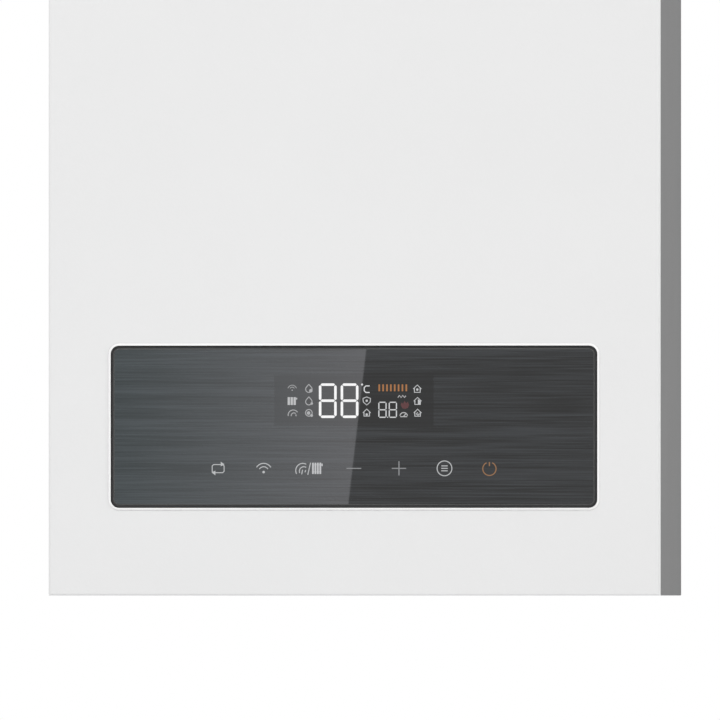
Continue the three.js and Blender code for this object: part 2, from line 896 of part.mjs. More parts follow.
// The ring lines the cover's window, with a thin lip on the cover's face
function windowRing() {
  const middle = windowBottom + windowHeight / 2;
  const lipBack = frontFace - fitGap;
  const lipFront = lipBack - ringRise;
  const end = coverBack + ringTail;
  const ringOutline = (edge) => roundedRect(
    windowWidth + 2 * edge,
    windowHeight + 2 * edge,
    windowRadius + edge,
    middle,
  );
  const lip = upright(ringOutline(ringLip), [lipFront, lipBack]);
  const collar = upright(ringOutline(ringWall), [lipFront + ringRise / 2, end]);
  const hole = upright(ringOutline(0), past([lipFront, end]));
  return piece('window_ring', lip.add(collar).subtract(hole), 'whitePlastic');
}

// The control unit turns about its hinge pins, so it is drawn about their axis
function controlGlass() {
  const plate = roundedRect(glassWidth, glassHeight, glassRadius, glassMiddle);
  return piece('control_glass', upright(plate, [glassFront, glassFront + glassThickness]), 'darkGlass');
}

function postPlaces(width, height, inset) {
  const x = width / 2 - inset;
  const z = height / 2 - inset;
  return [[-x, -z], [x, -z], [-x, z], [x, z]];
}

function controlTray() {
  const pocketRadius = glassRadius - trayWall;
  const pocketBack = trayBack - trayFloor;
  const outer = roundedRect(glassWidth, glassHeight, glassRadius, glassMiddle);
  const pocket = [glassWidth - 2 * trayWall, glassHeight - 2 * trayWall];
  const inner = roundedRect(pocket[0], pocket[1], pocketRadius, glassMiddle);
  let tray = upright(outer, [trayFront, trayBack]);
  tray = tray.subtract(upright(inner, [trayFront - overrun, pocketBack]));
  const cableHeight = about(boxBottom + boxWall + cableWindowHeight, cableWindowHeight);
  tray = tray.subtract(block(about(0, cableWindowWidth), past([pocketBack, trayBack]), cableHeight));
  const boardBack = glassFront + glassThickness + displayBoardSpace + boardThickness;
  for (const [x, z] of postPlaces(displayBoardWidth, displayBoardHeight, 2 * postRadius)) {
    const depth = [boardBack + fitGap, trayBack - trayFloor / 2];
    tray = tray.add(rodY(postRadius, x, depth, glassMiddle + z, pipeSides));
  }
  for (const side of [-1, 1]) {
    const root = glassWidth / 2;
    const across = [root - trayWall / 2, root + hingePinLength].map((x) => side * x).sort((a, b) => a - b);
    tray = tray.add(rodX(hingePinRadius, across, 0, 0, pipeSides));
  }
  return piece('control_tray', tray, 'blackPlastic');
}

function displayBoard() {
  const front = glassFront + glassThickness + displayBoardSpace;
  const height = about(glassMiddle, displayBoardHeight);
  const board = block(about(0, displayBoardWidth), [front, front + boardThickness], height);
  return piece('display_board', board, 'boardGreen');
}

// The main board stands on posts in the rear cover, with its parts towards the glass
function mainBoard() {
  const width = boxWidth - 2 * (boxWall + mainBoardMargin);
  const bottom = boxBottom + boxWall + mainBoardMargin;
  const top = boxTop - boxWall - mainBoardMargin;
  const back = boxBack - boxWall - mainPostLength - fitGap;
  const front = back - boardThickness;
  const root = front + boardThickness / 2;
  let board = block(about(0, width), [front, back], [bottom, top]);
  const transformerX = mainBoardMargin + transformerSize / 2 - width / 2;
  const middle = (bottom + top) / 2;
  const transformerDepth = [front - transformerSize * transformerDepthShare, root];
  const transformerHeight = about(middle, transformerSize);
  board = board.add(block(about(transformerX, transformerSize), transformerDepth, transformerHeight));
  for (let i = 0; i < relayCount; i += 1) {
    const x = relaySize * relayPitchShare * (i - (relayCount - 1) / 2);
    board = board.add(block(about(x, relaySize), [front - relaySize, root], about(middle, relaySize)));
  }
  const capacitorX = width / 2 - mainBoardMargin - capacitorRadius;
  const capacitorDepth = [front - 2 * capacitorRadius, root];
  board = board.add(rodY(capacitorRadius, capacitorX, capacitorDepth, middle, pipeSides));
  const socketHeight = [bottom, bottom + socketRowHeight];
  const socketWidth = width - 2 * mainBoardMargin;
  board = board.add(block(about(0, socketWidth), [front - socketRowHeight, root], socketHeight));
  return piece('main_board', board, 'boardGreen');
}

function controlBox() {
  const outer = [boxBottom, boxTop];
  const inner = [boxBottom + boxWall, boxTop - boxWall];
  const innerBack = boxBack - boxWall;
  let box = block(about(0, boxWidth), [boxFront, boxBack], outer);
  box = box.subtract(block(about(0, boxWidth - 2 * boxWall), [boxFront - overrun, innerBack], inner));
  const middle = (boxBottom + boxTop) / 2;
  const width = boxWidth - 2 * (boxWall + mainBoardMargin);
  const height = boxTop - boxBottom - 2 * (boxWall + mainBoardMargin);
  for (const [x, z] of postPlaces(width, height, 2 * postRadius)) {
    const depth = [innerBack - mainPostLength, innerBack + boxWall / 2];
    box = box.add(rodY(postRadius, x, depth, middle + z, pipeSides));
  }
  return piece('control_box', box, 'blackPlastic');
}

function controlUnit() {
  const unit = groupOf([controlGlass(), controlTray(), displayBoard(), mainBoard(), controlBox()]);
  unit.position.set(0, hingeY, hingeZ);
  return unit;
}

// The air chamber is open to the front, where the lid closes it on a seal
function airChamber() {
  const depth = [chamberFront, chamberBack];
  const inner = insideHalf - chamberSheet;
  const height = [chamberFloor, insideTop];
  const mouth = insideHalf - chamberFlange;
  let chamber = block([-insideHalf, insideHalf], depth, height);
  const room = [chamberFront + chamberSheet, chamberBack - chamberSheet];
  const roomHeight = [chamberFloor + chamberSheet, insideTop - chamberSheet];
  chamber = chamber.subtract(block([-inner, inner], room, roomHeight));
  const mouthHeight = [chamberFloor + chamberFlange, insideTop - chamberFlange];
  const mouthDepth = [chamberFront - overrun, room[1] - overrun];
  chamber = chamber.subtract(block([-mouth, mouth], mouthDepth, mouthHeight));
  const roof = past([insideTop - chamberSheet, insideTop]);
  chamber = chamber.subtract(rodZ(flueOuterRadius + fitGap, 0, flueY, roof, drumSides));
  const floor = past([chamberFloor, chamberFloor + chamberSheet]);
  chamber = chamber.subtract(rodZ(gasPipeRadius + plateHoleGap, 0, gasRailY, floor));
  for (const side of [-1, 1]) {
    const x = side * (exchangerPortEnd + pipeOut);
    chamber = chamber.subtract(rodZ(pipeRadius + plateHoleGap, x, flueY, floor));
  }
  return piece('air_chamber', chamber, 'zincSteel');
}

function chamberSeal() {
  const half = insideHalf - sealMargin;
  const depth = [chamberFront - fitGap - sealThickness, chamberFront - fitGap];
  const height = [chamberFloor + sealMargin, insideTop - sealMargin];
  const hollow = [height[0] + sealWidth, height[1] - sealWidth];
  let seal = block([-half, half], depth, height);
  seal = seal.subtract(block([sealWidth - half, half - sealWidth], past(depth), hollow));
  return piece('chamber_seal', seal, 'rubber');
}

const lidBack = chamberFront - sealThickness - 2 * fitGap;
const sightZ = floorTop + electrodeHeight;

function chamberLid() {
  const half = insideHalf - sealMargin;
  const depth = [lidBack - lidSheet, lidBack];
  let lid = block([-half, half], depth, [chamberFloor + sealMargin, insideTop - sealMargin]);
  lid = lid.subtract(rodY(sightRadius, sightSide, past(depth), sightZ));
  return piece('chamber_lid', lid, 'zincSteel');
}

function sightGlass() {
  const back = lidBack - lidSheet - fitGap;
  const disc = rodY(sightRadius + sightRim, sightSide, [back - sightThickness, back], sightZ);
  return piece('sight_glass', disc, 'clearGlass');
}

// The firebox stands on the chamber's floor over the burner. Low windows let the air in.
function firebox() {
  const width = about(0, fireboxWidth);
  const depth = about(flueY, fireboxDepth);
  const inner = fireboxWidth / 2 - fireboxSheet;
  const innerDepth = about(flueY, fireboxDepth - 2 * fireboxSheet);
  const height = [floorTop, fireboxTop];
  let box = block(width, depth, height).subtract(block([-inner, inner], innerDepth, past(height)));
  const window = fireboxWidth / 2 - airWindowMargin;
  const low = [floorTop - overrun, floorTop + airWindowHeight];
  box = box.subtract(block([-window, window], past(depth), low));
  for (const side of [-1, 1]) {
    const x = (side * electrodeSpacing) / 2;
    const wall = past([depth[0], innerDepth[0]]);
    box = box.subtract(rodY(electrodeRadius + fitGap, x, wall, sightZ, pipeSides));
  }
  return piece('firebox', box, 'zincSteel');
}

function insulation() {
  const edge = fireboxSheet + fitGap;
  const width = fireboxWidth - 2 * edge;
  const depth = fireboxDepth - 2 * edge;
  const height = [floorTop + airWindowHeight + insulationRise, fireboxTop];
  const hollowWidth = about(0, width - 2 * insulationThickness);
  const hollowDepth = about(flueY, depth - 2 * insulationThickness);
  let lining = block(about(0, width), about(flueY, depth), height);
  lining = lining.subtract(block(hollowWidth, hollowDepth, past(height)));
  for (const side of [-1, 1]) {
    const x = (side * electrodeSpacing) / 2;
    const wall = [flueY - fireboxDepth / 2, hollowDepth[0] + overrun];
    lining = lining.subtract(rodY(electrodeRadius + fitGap, x, wall, sightZ, pipeSides));
  }
  return piece('insulation', lining, 'fibre');
}

// Blades lie side by side on two cross rails
function burner() {
  const depth = about(flueY, burnerDepth);
  const railHeights = [floorTop, floorTop + burnerRailHeight];
  const rails = [
    block(about(0, burnerWidth), [depth[0], depth[0] + burnerRailWidth], railHeights),
    block(about(0, burnerWidth), [depth[1] - burnerRailWidth, depth[1]], railHeights),
  ];
  const blades = bladePlaces().map((x) => {
    const height = [railHeights[1] - bladeOverlap, burnerTop];
    return block(about(x, bladeThickness), depth, height);
  });
  return piece('burner', joined([...rails, ...blades]), 'steel');
}

function bladePlaces() {
  const pitch = (burnerWidth - bladeThickness) / (bladeCount - 1);
  return Array.from({ length: bladeCount }, (_, i) => pitch * (i - (bladeCount - 1) / 2));
}

// The gas rail feeds each blade through a nozzle
function gasRail() {
  const height = about(gasRailMiddle, gasRailSize);
  const bar = block(about(0, burnerWidth), [gasRailFront, gasRailBack], height);
  const nozzles = bladePlaces().map((x) => {
    const depth = [gasRailBack - gasRailSize / 2, burnerFront - fitGap];
    return rodY(nozzleRadius, x, depth, gasRailMiddle, nutSides);
  });
  return piece('gas_rail', joined([bar, ...nozzles]), 'aluminium');
}

function electrode(name, side) {
  const x = (side * electrodeSpacing) / 2;
  const wall = flueY - fireboxDepth / 2;
  const bodyEnd = wall + electrodeReach;
  const body = rodY(electrodeRadius, x, [wall - electrodeTail, bodyEnd], sightZ, pipeSides);
  const tipDepth = [bodyEnd - electrodeTipRadius, bodyEnd + electrodeTipLength];
  const tip = rodY(electrodeTipRadius, x, tipDepth, sightZ, nutSides);
  const flangeBack = wall - fitGap;
  const flangeDepth = [flangeBack - electrodeFlangeSheet, flangeBack];
  const flange = block(about(x, electrodeFlangeSize), flangeDepth, about(sightZ, electrodeFlangeSize));
  return piece(name, joined([body, tip, flange]), 'ceramic');
}

// Finned block: flue gas rises between the fins, water runs through them from side to side
function heatExchanger() {
  const width = about(0, fireboxWidth);
  const depth = about(flueY, fireboxDepth);
  const height = [exchangerBottom, exchangerTop];
  const hollowWidth = about(0, fireboxWidth - 2 * exchangerSheet);
  const hollowDepth = about(flueY, fireboxDepth - 2 * exchangerSheet);
  const frame = block(width, depth, height).subtract(block(hollowWidth, hollowDepth, past(height)));
  const finPitch = fireboxWidth / (finCount + 1);
  const finHeight = [exchangerBottom + finMargin, exchangerTop - finMargin];
  const fins = Array.from({ length: finCount }, (_, i) => {
    const x = finPitch * (i - (finCount - 1) / 2);
    return block(about(x, finSheet), about(flueY, fireboxDepth - exchangerSheet), finHeight);
  });
  const wayPitch = fireboxDepth / waterWayCount;
  const ways = Array.from({ length: waterWayCount }, (_, i) => {
    const y = flueY + wayPitch * (i - (waterWayCount - 1) / 2);
    return block(width, about(y, waterWayWidth), about(exchangerMiddle, waterWayHeight));
  });
  const headerDepth = about(flueY, fireboxDepth - 2 * headerInset);
  const headers = block([-headerEnd, headerEnd], headerDepth, about(exchangerMiddle, headerHeight));
  const between = about(0, fireboxWidth - exchangerSheet);
  const sideBoxes = headers.subtract(block(between, past(headerDepth), past(height)));
  const port = rodX(exchangerPortRadius, [-exchangerPortEnd, exchangerPortEnd], flueY, exchangerMiddle);
  const ports = port.subtract(block([-headerEnd + overrun, headerEnd - overrun], past(depth), past(height)));
  return piece('heat_exchanger', joined([frame, ...fins, ...ways, sideBoxes, ports]), 'copper');
}

function limitThermostat() {
  const x = -fireboxWidth / 2 - headerLength / 2;
  const y = flueY - fireboxDepth / 2 + headerInset + thermostatInset;
  const bottom = exchangerMiddle + headerHeight / 2 + fitGap;
  const body = rodZ(thermostatRadius, x, y, [bottom, bottom + thermostatHeight], pipeSides);
  return piece('limit_thermostat', body, 'blackPlastic');
}

// The hood gathers the flue gas and leads it up behind the fan
function hoodProfile(inset) {
  const half = fireboxWidth / 2 - inset;
  const topHalf = hoodTopWidth / 2 - inset;
  const bottom = inset === 0 ? hoodBottom : hoodBottom - overrun;
  return outline([
    [-half, bottom],
    [half, bottom],
    [half, hoodBottom + hoodSkirt],
    [topHalf, hoodTop - inset],
    [-topHalf, hoodTop - inset],
    [-half, hoodBottom + hoodSkirt],
  ]);
}

function flueHood() {
  const depth = about(flueY, fireboxDepth);
  const innerDepth = about(flueY, fireboxDepth - 2 * hoodSheet);
  const half = fanInletRadius + fanInletMargin;
  const across = about(fanX, 2 * half);
  const front = flueY + fanHalfDepth + fitGap;
  const box = [front, front + intakeDepth];
  const innerBox = [front + hoodSheet, front + intakeDepth - hoodSheet];
  const top = fanZ + half;
  const hollowHeight = [hoodTop - overrun, top - hoodSheet];
  let hood = upright(hoodProfile(0), depth);
  hood = hood.add(block(across, box, [hoodTop - hoodSheet / 2, top]));
  hood = hood.subtract(upright(hoodProfile(hoodSheet), innerDepth));
  hood = hood.subtract(block(about(fanX, 2 * (half - hoodSheet)), innerBox, hollowHeight));
  hood = hood.subtract(rodY(fanInletRadius, fanX, [front - overrun, innerBox[0] + overrun], fanZ));
  return piece('flue_hood', hood, 'zincSteel');
}

// The fan is drawn about the axis of its shaft
function fanHousing() {
  const outer = [-fanHalfDepth, fanHalfDepth];
  const inner = [fanSheet - fanHalfDepth, fanHalfDepth - fanSheet];
  const outletX = -fanX;
  const outletTop = fanOutletStart + fanOutletHeight;
  const throat = fanOutletRadius - fanSheet;
  let housing = rodY(fanDrumRadius, 0, outer, 0, drumSides);
  housing = housing.add(rodZ(fanOutletRadius, outletX, 0, [fanOutletStart, outletTop], drumSides));
  housing = housing.subtract(rodY(fanDrumRadius - fanSheet, 0, inner, 0, drumSides));
  const bore = [fanOutletStart + fanSheet, outletTop + overrun];
  housing = housing.subtract(rodZ(throat, outletX, 0, bore, drumSides));
  const slotHalf = throat * Math.SQRT1_2;
  const slotHeight = [fanOutletStart - fanDrumRadius * throatDropShare, bore[0] + overrun];
  const slotDepth = [inner[0] + fanSheet, inner[1] - fanSheet];
  housing = housing.subtract(block([outletX - slotHalf, outletX + slotHalf], slotDepth, slotHeight));
  housing = housing.subtract(rodY(fanInletRadius, 0, past([inner[1], outer[1]]), 0));
  housing = housing.subtract(rodY(fanShaftRadius + plateHoleGap, 0, past([outer[0], inner[0]]), 0));
  return piece('fan_housing', housing, 'aluminium');
}

function fanWheel() {
  const front = fanSheet + fanWheelMargin - fanHalfDepth;
  const back = -front;
  const blades = Array.from({ length: fanBladeCount }, (_, i) => {
    const across = [fanWheelRadius - fanBladeLength, fanWheelRadius - fanBladeSheet];
    const geometry = blockGeometry(across, [front, back], about(0, fanBladeSheet));
    geometry.rotateY((2 * Math.PI * i) / fanBladeCount);
    return solid(geometry);
  });
  const disc = rodY(fanWheelRadius, 0, [front, front + fanDiscSheet], 0);
  const ring = rodY(fanWheelRadius, 0, [back - fanDiscSheet, back], 0);
  const eye = rodY(fanWheelRadius - fanBladeLength / 2, 0, past([back - fanDiscSheet, back]), 0);
  const shaft = rodY(fanShaftRadius, 0, [-fanHalfDepth - fanShaftLength, front + fanDiscSheet], 0);
  return piece('fan_wheel', joined([disc, ring.subtract(eye), shaft, ...blades]), 'zincSteel');
}

function fanMotor() {
  const back = -fanHalfDepth - fitGap;
  const boreFront = -fanHalfDepth - fanShaftLength - overrun;
  let motor = rodY(fanMotorRadius, 0, [back - fanMotorLength, back], 0);
  motor = motor.subtract(rodY(fanShaftRadius + fitGap, 0, [boreFront, back + overrun], 0));
  return piece('fan_motor', motor, 'blackPlastic');
}

function fan() {
  const group = groupOf([fanHousing(), fanWheel(), fanMotor()]);
  group.position.set(fanX, flueY, fanZ);
  return group;
}

// The flue: inner tube over the fan's outlet, outer collar with flange and spacers, and gasket
function flueInner() {
  const height = [fanZ + fanDrumRadius + fitGap, casingHeight + flueHeight];
  const bore = rodZ(flueInnerRadius - flueSheet, 0, flueY, past(height), drumSides);
  const tube = rodZ(flueInnerRadius, 0, flueY, height, drumSides).subtract(bore);
  return piece('flue_inner', tube, 'aluminium');
}

function flueCollar() {
  const bottom = casingHeight + flueGasketThickness + 2 * fitGap;
  const top = casingHeight + flueHeight;
  let collar = rodZ(flueOuterRadius, 0, flueY, [bottom + flueFlangeSheet / 2, top], drumSides);
  collar = collar.add(rodZ(flueFlangeRadius, 0, flueY, [bottom, bottom + flueFlangeSheet], drumSides));
  const bore = rodZ(flueOuterRadius - flueSheet, 0, flueY, past([bottom, top]), drumSides);
  collar = collar.subtract(bore);
  const radii = [flueInnerRadius + fitGap, flueOuterRadius - flueSheet / 2];
  const height = [bottom + flueSpacerHeight, bottom + 2 * flueSpacerHeight];
  for (let i = 0; i < flueSpacerCount; i += 1) {
    const geometry = blockGeometry(radii, about(0, flueSpacerSheet), height);
    geometry.rotateZ((2 * Math.PI * i) / flueSpacerCount + Math.PI / 2);
    geometry.translate(0, flueY, 0);
    collar = collar.add(solid(geometry));
  }
  return piece('flue_collar', collar, 'whiteCoat');
}

function flueGasket() {
  const height = [casingHeight + fitGap, casingHeight + fitGap + flueGasketThickness];
  const bore = rodZ(flueOuterRadius + fitGap, 0, flueY, past(height), drumSides);
  const gasket = rodZ(flueFlangeRadius, 0, flueY, height, drumSides).subtract(bore);
  return piece('flue_gasket', gasket, 'rubber');
}

// The switch sits on the chamber's rear wall, and its tube runs to the fan housing
const switchBack = chamberBack - chamberSheet - fitGap;
const switchFront = switchBack - switchThickness;

function pressureSwitch() {
  const body = rodY(switchRadius, switchX, [switchFront, switchBack], fanZ);
  const nippleDepth = [switchFront - switchNippleLength, switchFront + switchNippleLength];
  const nipple = rodY(switchNippleRadius, switchX, nippleDepth, fanZ, pipeSides);
  return piece('pressure_switch', body.add(nipple), 'whitePlastic');
}

function pressureTube() {
  const start = switchFront - switchNippleLength - fitGap;
  const route = [
    [switchX, start, fanZ],
    [switchX, flueY, fanZ],
    [fanX + fanDrumRadius + fitGap, flueY, fanZ],
  ];
  return piece('pressure_tube', bentRod(hoseRadius, route, hoseBend), 'silicone');
}

// A connection: the threaded end below the plate, its bore, and the flange that rests on the plate
function connection(x, radius, top) {
  const stub = rodZ(radius, x, connectionY, [connectionEnd, top]);
  const flange = rodZ(radius + connectionFlangeRim, x, connectionY, [flangeBottom, flangeTop], nutSides);
  return stub.add(flange);
}

function connectionBore(x, radius, top = connectionEnd + connectionBoreDepth) {
  return rodZ(radius, x, connectionY, [connectionEnd - overrun, top]);
}

// The flow group carries the diverter valve, the relief valve and the pressure sensor
function flowGroup() {
  const neckEnd = connectionY - neckReach;
  const armX = [flowX, flowX + armReach];
  const stemBore = [neckEnd - overrun, neckEnd + stemInside + overrun];
  let group = connection(flowX, wideThreadRadius, flowSensorBottom);
  group = group.add(rodZ(valveRadius, flowX, connectionY, [flowSensorBottom - overrun, valveTop]));
  group = group.add(rodZ(valvePortRadius, flowX, connectionY, [valveTop - overrun, portTop]));
  group = group.add(block(armX, about(armY, armWidth), [armTop - armHeight, armTop]));
  group = group.add(rodY(neckRadius, flowX, [neckEnd, connectionY], stemHeight));
  group = group.add(rodY(reliefRadius, flowX, [connectionY - reliefBossReach, connectionY], reliefHeight));
  group = group.add(rodX(sensorRadius, [flowX - sensorBossReach, flowX], connectionY, sensorHeight));
  group = group.subtract(connectionBore(flowX, wideBoreRadius));
  group = group.subtract(rodY(stemRadius + fitGap, flowX, stemBore, stemHeight));
  return piece('flow_group', group, 'brass');
}

function diverterActuator() {
  const back = connectionY - neckReach - fitGap;
  const front = back - actuatorLength;
  const boreFront = back - stemLength + stemInside - stemTravel - overrun;
  let actuator = rodY(actuatorRadius, flowX, [front, back], stemHeight);
  const plug = block(about(flowX, actuatorRadius), about((front + back) / 2, actuatorRadius), [
    stemHeight,
    stemHeight + actuatorRadius + coverTabSheet,
  ]);
  actuator = actuator.add(plug);
  actuator = actuator.subtract(rodY(stemRadius + fitGap, flowX, [boreFront, back + overrun], stemHeight));
  return piece('diverter_actuator', actuator, 'blackPlastic');
}

function diverterStem() {
  const back = connectionY - neckReach + stemInside;
  const stem = rodY(stemRadius, flowX, [back - stemLength, back], stemHeight);
  return piece('diverter_stem', stem, 'steel');
}

const reliefBack = connectionY - reliefBossReach - fitGap;
const reliefFront = reliefBack - reliefLength;

function reliefValve() {
  const middle = (reliefBack + reliefFront) / 2;
  const body = rodY(reliefRadius, flowX, [reliefFront, reliefBack], reliefHeight);
  const stemDepth = [reliefFront - reliefStemLength, reliefFront + overrun];
  const stem = rodY(reliefStemRadius, flowX, stemDepth, reliefHeight);
  let drain = rodZ(reliefDrainRadius, flowX, middle, [reliefDrainEnd, reliefHeight]);
  drain = drain.subtract(rodZ(glandBoreRadius, flowX, middle, [reliefDrainEnd - overrun, skirtHeight]));
  return piece('relief_valve', joined([body, stem, drain]), 'brass');
}

function reliefKnob() {
  const back = reliefFront - fitGap;
  const socketFront = reliefFront - reliefStemLength - fitGap;
  let knob = rodY(reliefKnobRadius, flowX, [back - reliefKnobLength, back], reliefHeight, pipeSides);
  knob = knob.subtract(rodY(reliefStemRadius + fitGap, flowX, [socketFront, back + overrun], reliefHeight));
  return piece('relief_knob', knob, 'redPlastic');
}

function waterPressureSensor() {
  const inner = flowX - sensorBossReach - fitGap;
  const body = rodX(sensorRadius, [inner - sensorLength, inner], connectionY, sensorHeight);
  const plugX = [inner - sensorLength, inner - sensorLength + sensorPlugWidth];
  const plugTop = sensorHeight + sensorRadius + coverTabSheet;
  const plug = block(plugX, about(connectionY, sensorPlugWidth), [sensorHeight, plugTop]);
  return piece('water_pressure_sensor', body.add(plug), 'blackPlastic');
}

// The plate exchanger is a stack of plates that stand out over a core
function plateExchanger() {
  const depth = [plateBack - plateDepth, plateBack];
  const core = block(
    about(0, plateWidth - 2 * plateEdge),
    [depth[0] + plateEdge, depth[1] - plateEdge],
    [plateBottom, plateTop],
  );
  const plates = Array.from({ length: plateCount }, (_, i) => {
    const bottom = plateBottom + i * platePitch;
    return block(about(0, plateWidth), depth, [bottom, bottom + plateSheet]);
  });
  const portHeight = [platePortBottom, plateBottom + platePitch];
  const ports = [-1, 1].flatMap((side) => [
    rodZ(platePortRadius, side * platePortX, armY, portHeight, pipeSides),
    rodZ(platePortRadius, side * connectionPitch, connectionY, portHeight, pipeSides),
  ]);
  return piece('plate_exchanger', joined([core, ...plates, ...ports]), 'steel');
}

// The return group holds the pump's impeller and carries the air vent and the vessel's hose
function pumpHousing() {
  const depth = [pumpFrontY, pumpRearY];
  const armX = [returnX - armReach, returnX];
  let housing = rodY(pumpRadius, returnX, depth, pumpHeight);
  housing = housing.add(connection(returnX, wideThreadRadius, pumpHeight));
  housing = housing.add(rodZ(pumpPortRadius, returnX, connectionY, [pumpHeight, portTop]));
  housing = housing.add(block(armX, about(armY, armWidth), [armTop - armHeight, armTop]));
  const ventX = returnX - ventSide;
  housing = housing.add(rodZ(ventBossRadius, ventX, connectionY - ventForward, [pumpHeight, ventBossTop]));
  const hoseX = returnX + hoseBossSide;
  housing = housing.add(rodZ(hoseBossRadius, hoseX, vesselY, [pumpHeight, hoseBossTop]));
  const room = [pumpFrontY - overrun, pumpFrontY + impellerRoomDepth];
  housing = housing.subtract(rodY(impellerRoomRadius, returnX, room, pumpHeight));
  housing = housing.subtract(connectionBore(returnX, wideBoreRadius));
  return piece('pump_housing', housing, 'castIron');
}

function pumpMotor() {
  const back = pumpFrontY - fitGap;
  const boreFront = pumpFrontY + impellerMargin - rotorShaftLength - overrun;
  let motor = rodY(pumpMotorRadius, returnX, [back - pumpMotorLength, back], pumpHeight);
  motor = motor.subtract(rodY(rotorShaftRadius + fitGap, returnX, [boreFront, back + overrun], pumpHeight));
  return piece('pump_motor', motor, 'greyPlastic');
}

// The rotor is a shaft with an impeller: a disc with vanes behind it
function pumpRotor() {
  const front = pumpFrontY + impellerMargin;
  const back = front + impellerThickness;
  const disc = rodY(impellerRadius, 0, [front, front + impellerVaneSheet], 0);
  const shaft = rodY(rotorShaftRadius, 0, [front - rotorShaftLength, back], 0);
  const vanes = Array.from({ length: impellerVaneCount }, (_, i) => {
    const across = [rotorShaftRadius / 2, impellerRadius - impellerVaneSheet];
    const depth = [front + impellerVaneSheet / 2, back];
    const geometry = blockGeometry(across, depth, about(0, impellerVaneSheet));
    geometry.rotateY((2 * Math.PI * i) / impellerVaneCount);
    return solid(geometry);
  });
  const rotor = piece('pump_rotor', joined([disc, shaft, ...vanes]), 'steel');
  rotor.position.set(returnX, 0, pumpHeight);
  return rotor;
}

function airVent() {
  const x = returnX - ventSide;
  const y = connectionY - ventForward;
  const bottom = ventBossTop + fitGap;
  const top = bottom + ventHeight;
  const capBottom = top + ventNippleHeight;
  const body = rodZ(ventRadius, x, y, [bottom, top]);
  const nipple = rodZ(ventNippleRadius, x, y, [top - overrun, capBottom + overrun]);
  const cap = rodZ(ventCapRadius, x, y, [capBottom, capBottom + ventCapHeight]);
  return piece('air_vent', joined([body, nipple, cap]), 'brass');
}

// The cold inlet holds the turbine of the flow sensor in its bore
function flowSensor() {
  const pipeTop = platePortBottom - fitGap;
  let sensor = connection(coldX, smallThreadRadius, flowSensorBottom + overrun);
  sensor = sensor.add(rodZ(flowSensorRadius, coldX, connectionY, [flowSensorBottom, flowSensorTop]));
  sensor = sensor.add(rodZ(waterPipeRadius, coldX, connectionY, [flowSensorTop - overrun, pipeTop]));
  const boreTop = turbineBottom + turbineHeight + overrun;
  sensor = sensor.subtract(connectionBore(coldX, turbineRadius + fitGap, boreTop));
  return piece('flow_sensor', sensor, 'brass');
}

function flowTurbine() {
  const height = [turbineBottom, turbineBottom + turbineHeight];
  const hubHeight = [height[0] - turbineHubEnd, height[1] + turbineHubEnd];
  const hub = rodZ(turbineHubRadius, 0, 0, hubHeight, pipeSides);
  const blades = Array.from({ length: turbineBladeCount }, (_, i) => {
    const reach = Math.sqrt(turbineRadius ** 2 - (turbineBladeSheet / 2) ** 2);
    const across = [turbineHubRadius / 2, reach];
    const geometry = blockGeometry(across, about(0, turbineBladeSheet), height);
    geometry.rotateZ((2 * Math.PI * i) / turbineBladeCount);
    return solid(geometry);
  });
  const turbine = piece('flow_turbine', hub.add(joined(blades)), 'whitePlastic');
  turbine.position.set(coldX, connectionY, 0);
  return turbine;
}

function hotWaterPipe() {
  let pipe = connection(hotX, smallThreadRadius, flowSensorBottom);
  const upper = [flowSensorBottom - overrun, platePortBottom - fitGap];
  pipe = pipe.add(rodZ(waterPipeRadius, hotX, connectionY, upper));
  return piece('hot_water_pipe', pipe.subtract(connectionBore(hotX, smallBoreRadius)), 'copper');
}

// The two pipes between the heat exchanger and the groups below it mirror each other
function waterPipe(name, side) {
  const x = side * (exchangerPortEnd + pipeOut);
  const turn = chamberFloor - pipeBelowChamber;
  const route = [
    [side * (exchangerPortEnd + fitGap), flueY, exchangerMiddle],
    [x, flueY, exchangerMiddle],
    [x, flueY, turn],
    [side * returnX, connectionY, portTop + portRise],
    [side * returnX, connectionY, portTop + fitGap],
  ];
  return piece(name, bentRod(pipeRadius, route, pipeBend), 'copper');
}

const gasOutletY = connectionY + gasValveRear - gasValveDepth + gasOutletInset;

// The gas valve has its coil on the front and its outlet on top
function gasValve() {
  const back = connectionY + gasValveRear;
  const front = back - gasValveDepth;
  const height = [gasValveBottom, gasValveBottom + gasValveHeight];
  const outletHeight = [height[1] - overrun, height[1] + gasOutletHeight];
  let valve = block(about(0, gasValveWidth), [front, back], height);
  valve = valve.add(connection(0, wideThreadRadius, gasValveBottom + overrun));
  valve = valve.add(rodZ(gasOutletRadius, 0, gasOutletY, outletHeight));
  valve = valve.add(rodY(coilRadius, 0, [front - coilLength, front + overrun], coilHeight));
  return piece('gas_valve', valve.subtract(connectionBore(0, wideBoreRadius)), 'aluminium');
}

function gasPipe() {
  const start = gasValveBottom + gasValveHeight + gasOutletHeight + fitGap;
  const turn = chamberFloor - gasPipeTurn;
  const route = [
    [0, gasOutletY, start],
    [0, gasOutletY, turn],
    [0, gasRailY, turn],
    [0, gasRailY, gasRailMiddle - gasRailSize / 2 - fitGap],
  ];
  return piece('gas_pipe', bentRod(gasPipeRadius, route, pipeBend), 'steel');
}

// Profile of the vessel, or of its hollow, from pairs of radius and depth
function vesselProfile(inset) {
  const half = vesselThickness / 2 - inset;
  const radius = vesselRadius - inset;
  const flat = radius - vesselRound;
  const slope = half - vesselRound / 2;
  return [
    [0, -half],
    [flat, -half],
    [radius, -slope],
    [radius, slope],
    [flat, half],
    [0, half],
  ];
}

